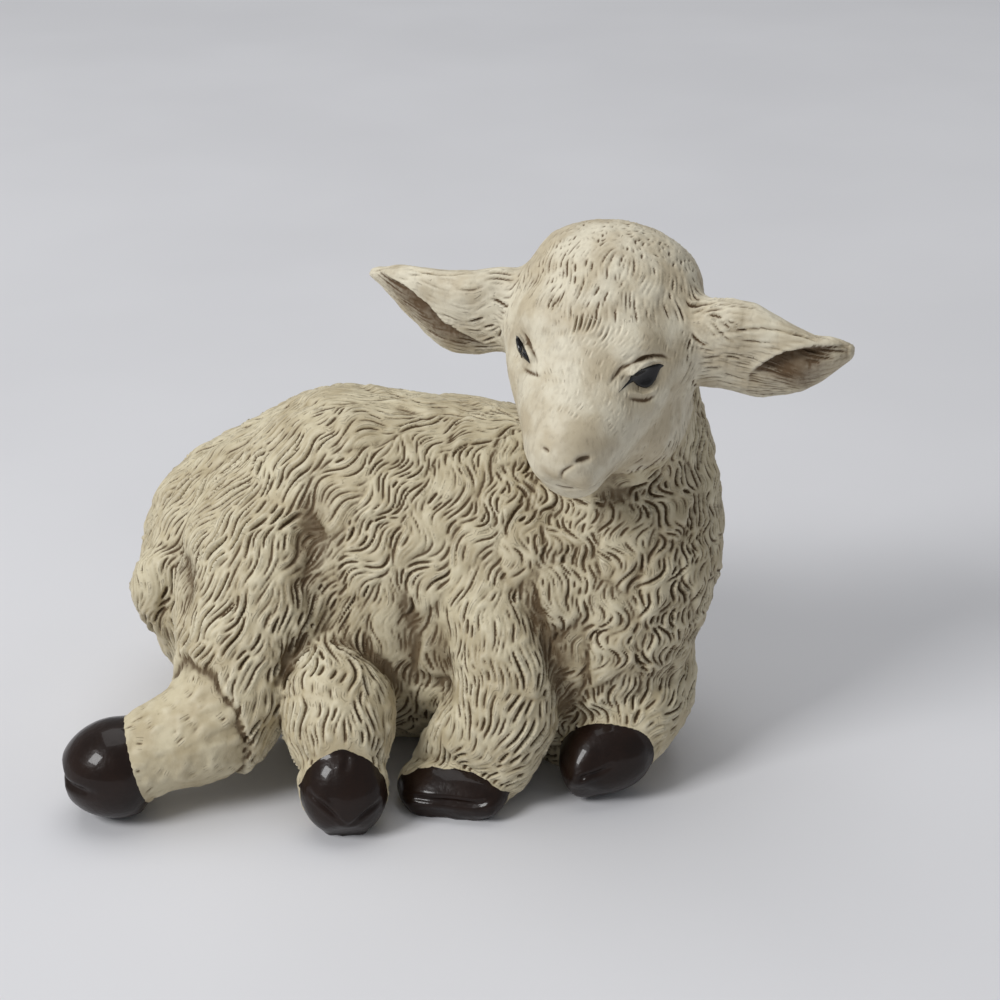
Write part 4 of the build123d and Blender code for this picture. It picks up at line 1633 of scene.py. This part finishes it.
def add_piece(name, shape, material, slot, *nodes):
    """Puts a finished shape into the scene as a piece that stands for its solids."""
    data = bpy.data.meshes.new(name)
    shape.to_mesh(data)
    shape.free()
    keep_normals(data)
    data.materials.append(material)
    piece = bpy.data.objects.new(name, data)
    bpy.context.scene.collection.objects.link(piece)
    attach(piece, "root")
    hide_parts(*nodes)
    data.calc_loop_triangles()
    print(name, "triangles:", len(data.loop_triangles))
    return piece


# %% [markdown]
# ## Finishes
# Four finishes cover the lamb: cream wool paint with the wash and painted shade, the smoother face paint,
# dark hoof gloss and black eye gloss. The cream ones are built from the number for the wash and the painted
# shade, with ridges painted paler, and all from a few noises, at the size of real brush marks.

# %% Cream wool and face paint


def cream_paint(name, pale, warm, wash, depth, scratch, stroke):
    """Satin cream with a brown wash and painted shade in the hollows, brown scratches, and ridges painted
    paler as rubbed paint and a painted highlight.
    """
    paint = Paint(name)
    cloud = paint.ramp(paint.speckle(3.0, detail=4.0), 0.35, 0.65)
    grain = paint.speckle(0.35, detail=2.0)
    strand = paint.attribute("strand") + (grain - 0.5) * 0.08
    bold = paint.attribute("bold")
    core = (1 - paint.ramp(strand, 0.03, 0.14)) * paint.ramp(bold, 0.15, 1.3)
    broken = paint.ramp(paint.speckle(1.1), 0.42, 0.58) * paint.ramp(bold, 0.12, 0.30)
    hair = paint.ramp(strand, 0.21, 0.26) - paint.ramp(strand, 0.27, 0.33)
    hair = (hair + paint.ramp(strand, 0.44, 0.49) - paint.ramp(strand, 0.50, 0.57)) * broken
    scratches = paint.ramp(paint.speckle(0.45, tall=2.5), 0.50, 0.74) * scratch
    mottle = paint.ramp(paint.speckle(1.6, detail=5.0), 0.45, 0.75) * scratch
    # The wash and the painted shade, as the sculpting left them on the mesh.
    hollow = paint.ramp(paint.attribute("wash") + (grain - 0.5) * 0.30, 0.06, 0.95)
    brown = (hollow * depth + core * stroke + hair * HAIR_WASH + scratches + mottle).clamped()
    rubbed_and_highlight = paint.attribute("ridge")
    base = paint.mix(cloud, pale, warm)
    stained = paint.mix(brown, base, wash)
    # Ridges painted paler: rubbed paint and a painted highlight.
    lit = paint.mix(rubbed_and_highlight * (1 - brown) * RUBBED_AND_HIGHLIGHT_SHARE, stained, RUBBED_AND_HIGHLIGHT)
    rough = 0.58 + 0.18 * brown - 0.08 * rubbed_and_highlight
    height = grain * 0.6 - hair - core - scratches * 2
    return paint.finish(Base_Color=lit, Roughness=rough, Normal=paint.bump(height, 0.06, 0.7))


HAIR_WASH = 0.36
# The paler colour of the ridges and how much of it shows: rubbed paint and a painted highlight.
RUBBED_AND_HIGHLIGHT_SHARE = 0.40
RUBBED_AND_HIGHLIGHT = linear(232, 225, 202)
WOOL_PAINT = cream_paint("cream wool paint", linear(203, 192, 162), linear(181, 167, 135),
                         linear(88, 69, 43), 0.88, 0.08, 0.45)
FACE_PAINT = cream_paint("cream face paint", linear(216, 208, 186), linear(190, 177, 150),
                         linear(92, 71, 46), 0.92, 0.17, 0.30)

# %% Hoof and eye gloss


def hoof_gloss():
    """Dark brown enamel with faint brush marks."""
    paint = Paint("hoof gloss", Coat_Weight=0.3, Coat_Roughness=0.05, Specular_IOR_Level=0.15)
    cloud = paint.ramp(paint.speckle(2.5), 0.3, 0.7)
    marks = paint.speckle(0.5, detail=2.0)
    return paint.finish(
        Base_Color=paint.mix(cloud, linear(26, 15, 10), linear(34, 21, 15)),
        Roughness=0.24 + 0.16 * marks, Normal=paint.bump(marks, 0.06, 0.6))


def eye_gloss():
    """Black enamel, a little brown where the brush ran thin."""
    paint = Paint("eye gloss", Coat_Weight=0.3, Coat_Roughness=0.06, Specular_IOR_Level=0.3)
    cloud = paint.ramp(paint.speckle(1.2), 0.4, 0.8)
    return paint.finish(
        Base_Color=paint.mix(cloud, linear(12, 11, 12), linear(20, 16, 16)), Roughness=0.25 + 0.1 * cloud)


HOOF_GLOSS = hoof_gloss()
EYE_GLOSS = eye_gloss()

# %% Dress every piece
for name in sorted(SHARES):
    if name.endswith("_hoof"):
        add_piece(name + "_painted", closed_piece(name), HOOF_GLOSS, "hoof", name)
    elif name in SHELL_SHARES:
        add_piece(name + "_carved", closed_piece(name), WOOL_PAINT, "fleece", "body")
    elif name in FLEECE:
        add_piece(name + "_carved", closed_piece(name), WOOL_PAINT, "fleece", name)
    else:
        add_piece(name + "_carved", closed_piece(name), FACE_PAINT, "face", name)
for name, bead in EYE_BEADS.items():
    add_piece(name + "_bead", bead, EYE_GLOSS, "eye", name)
clay.free()
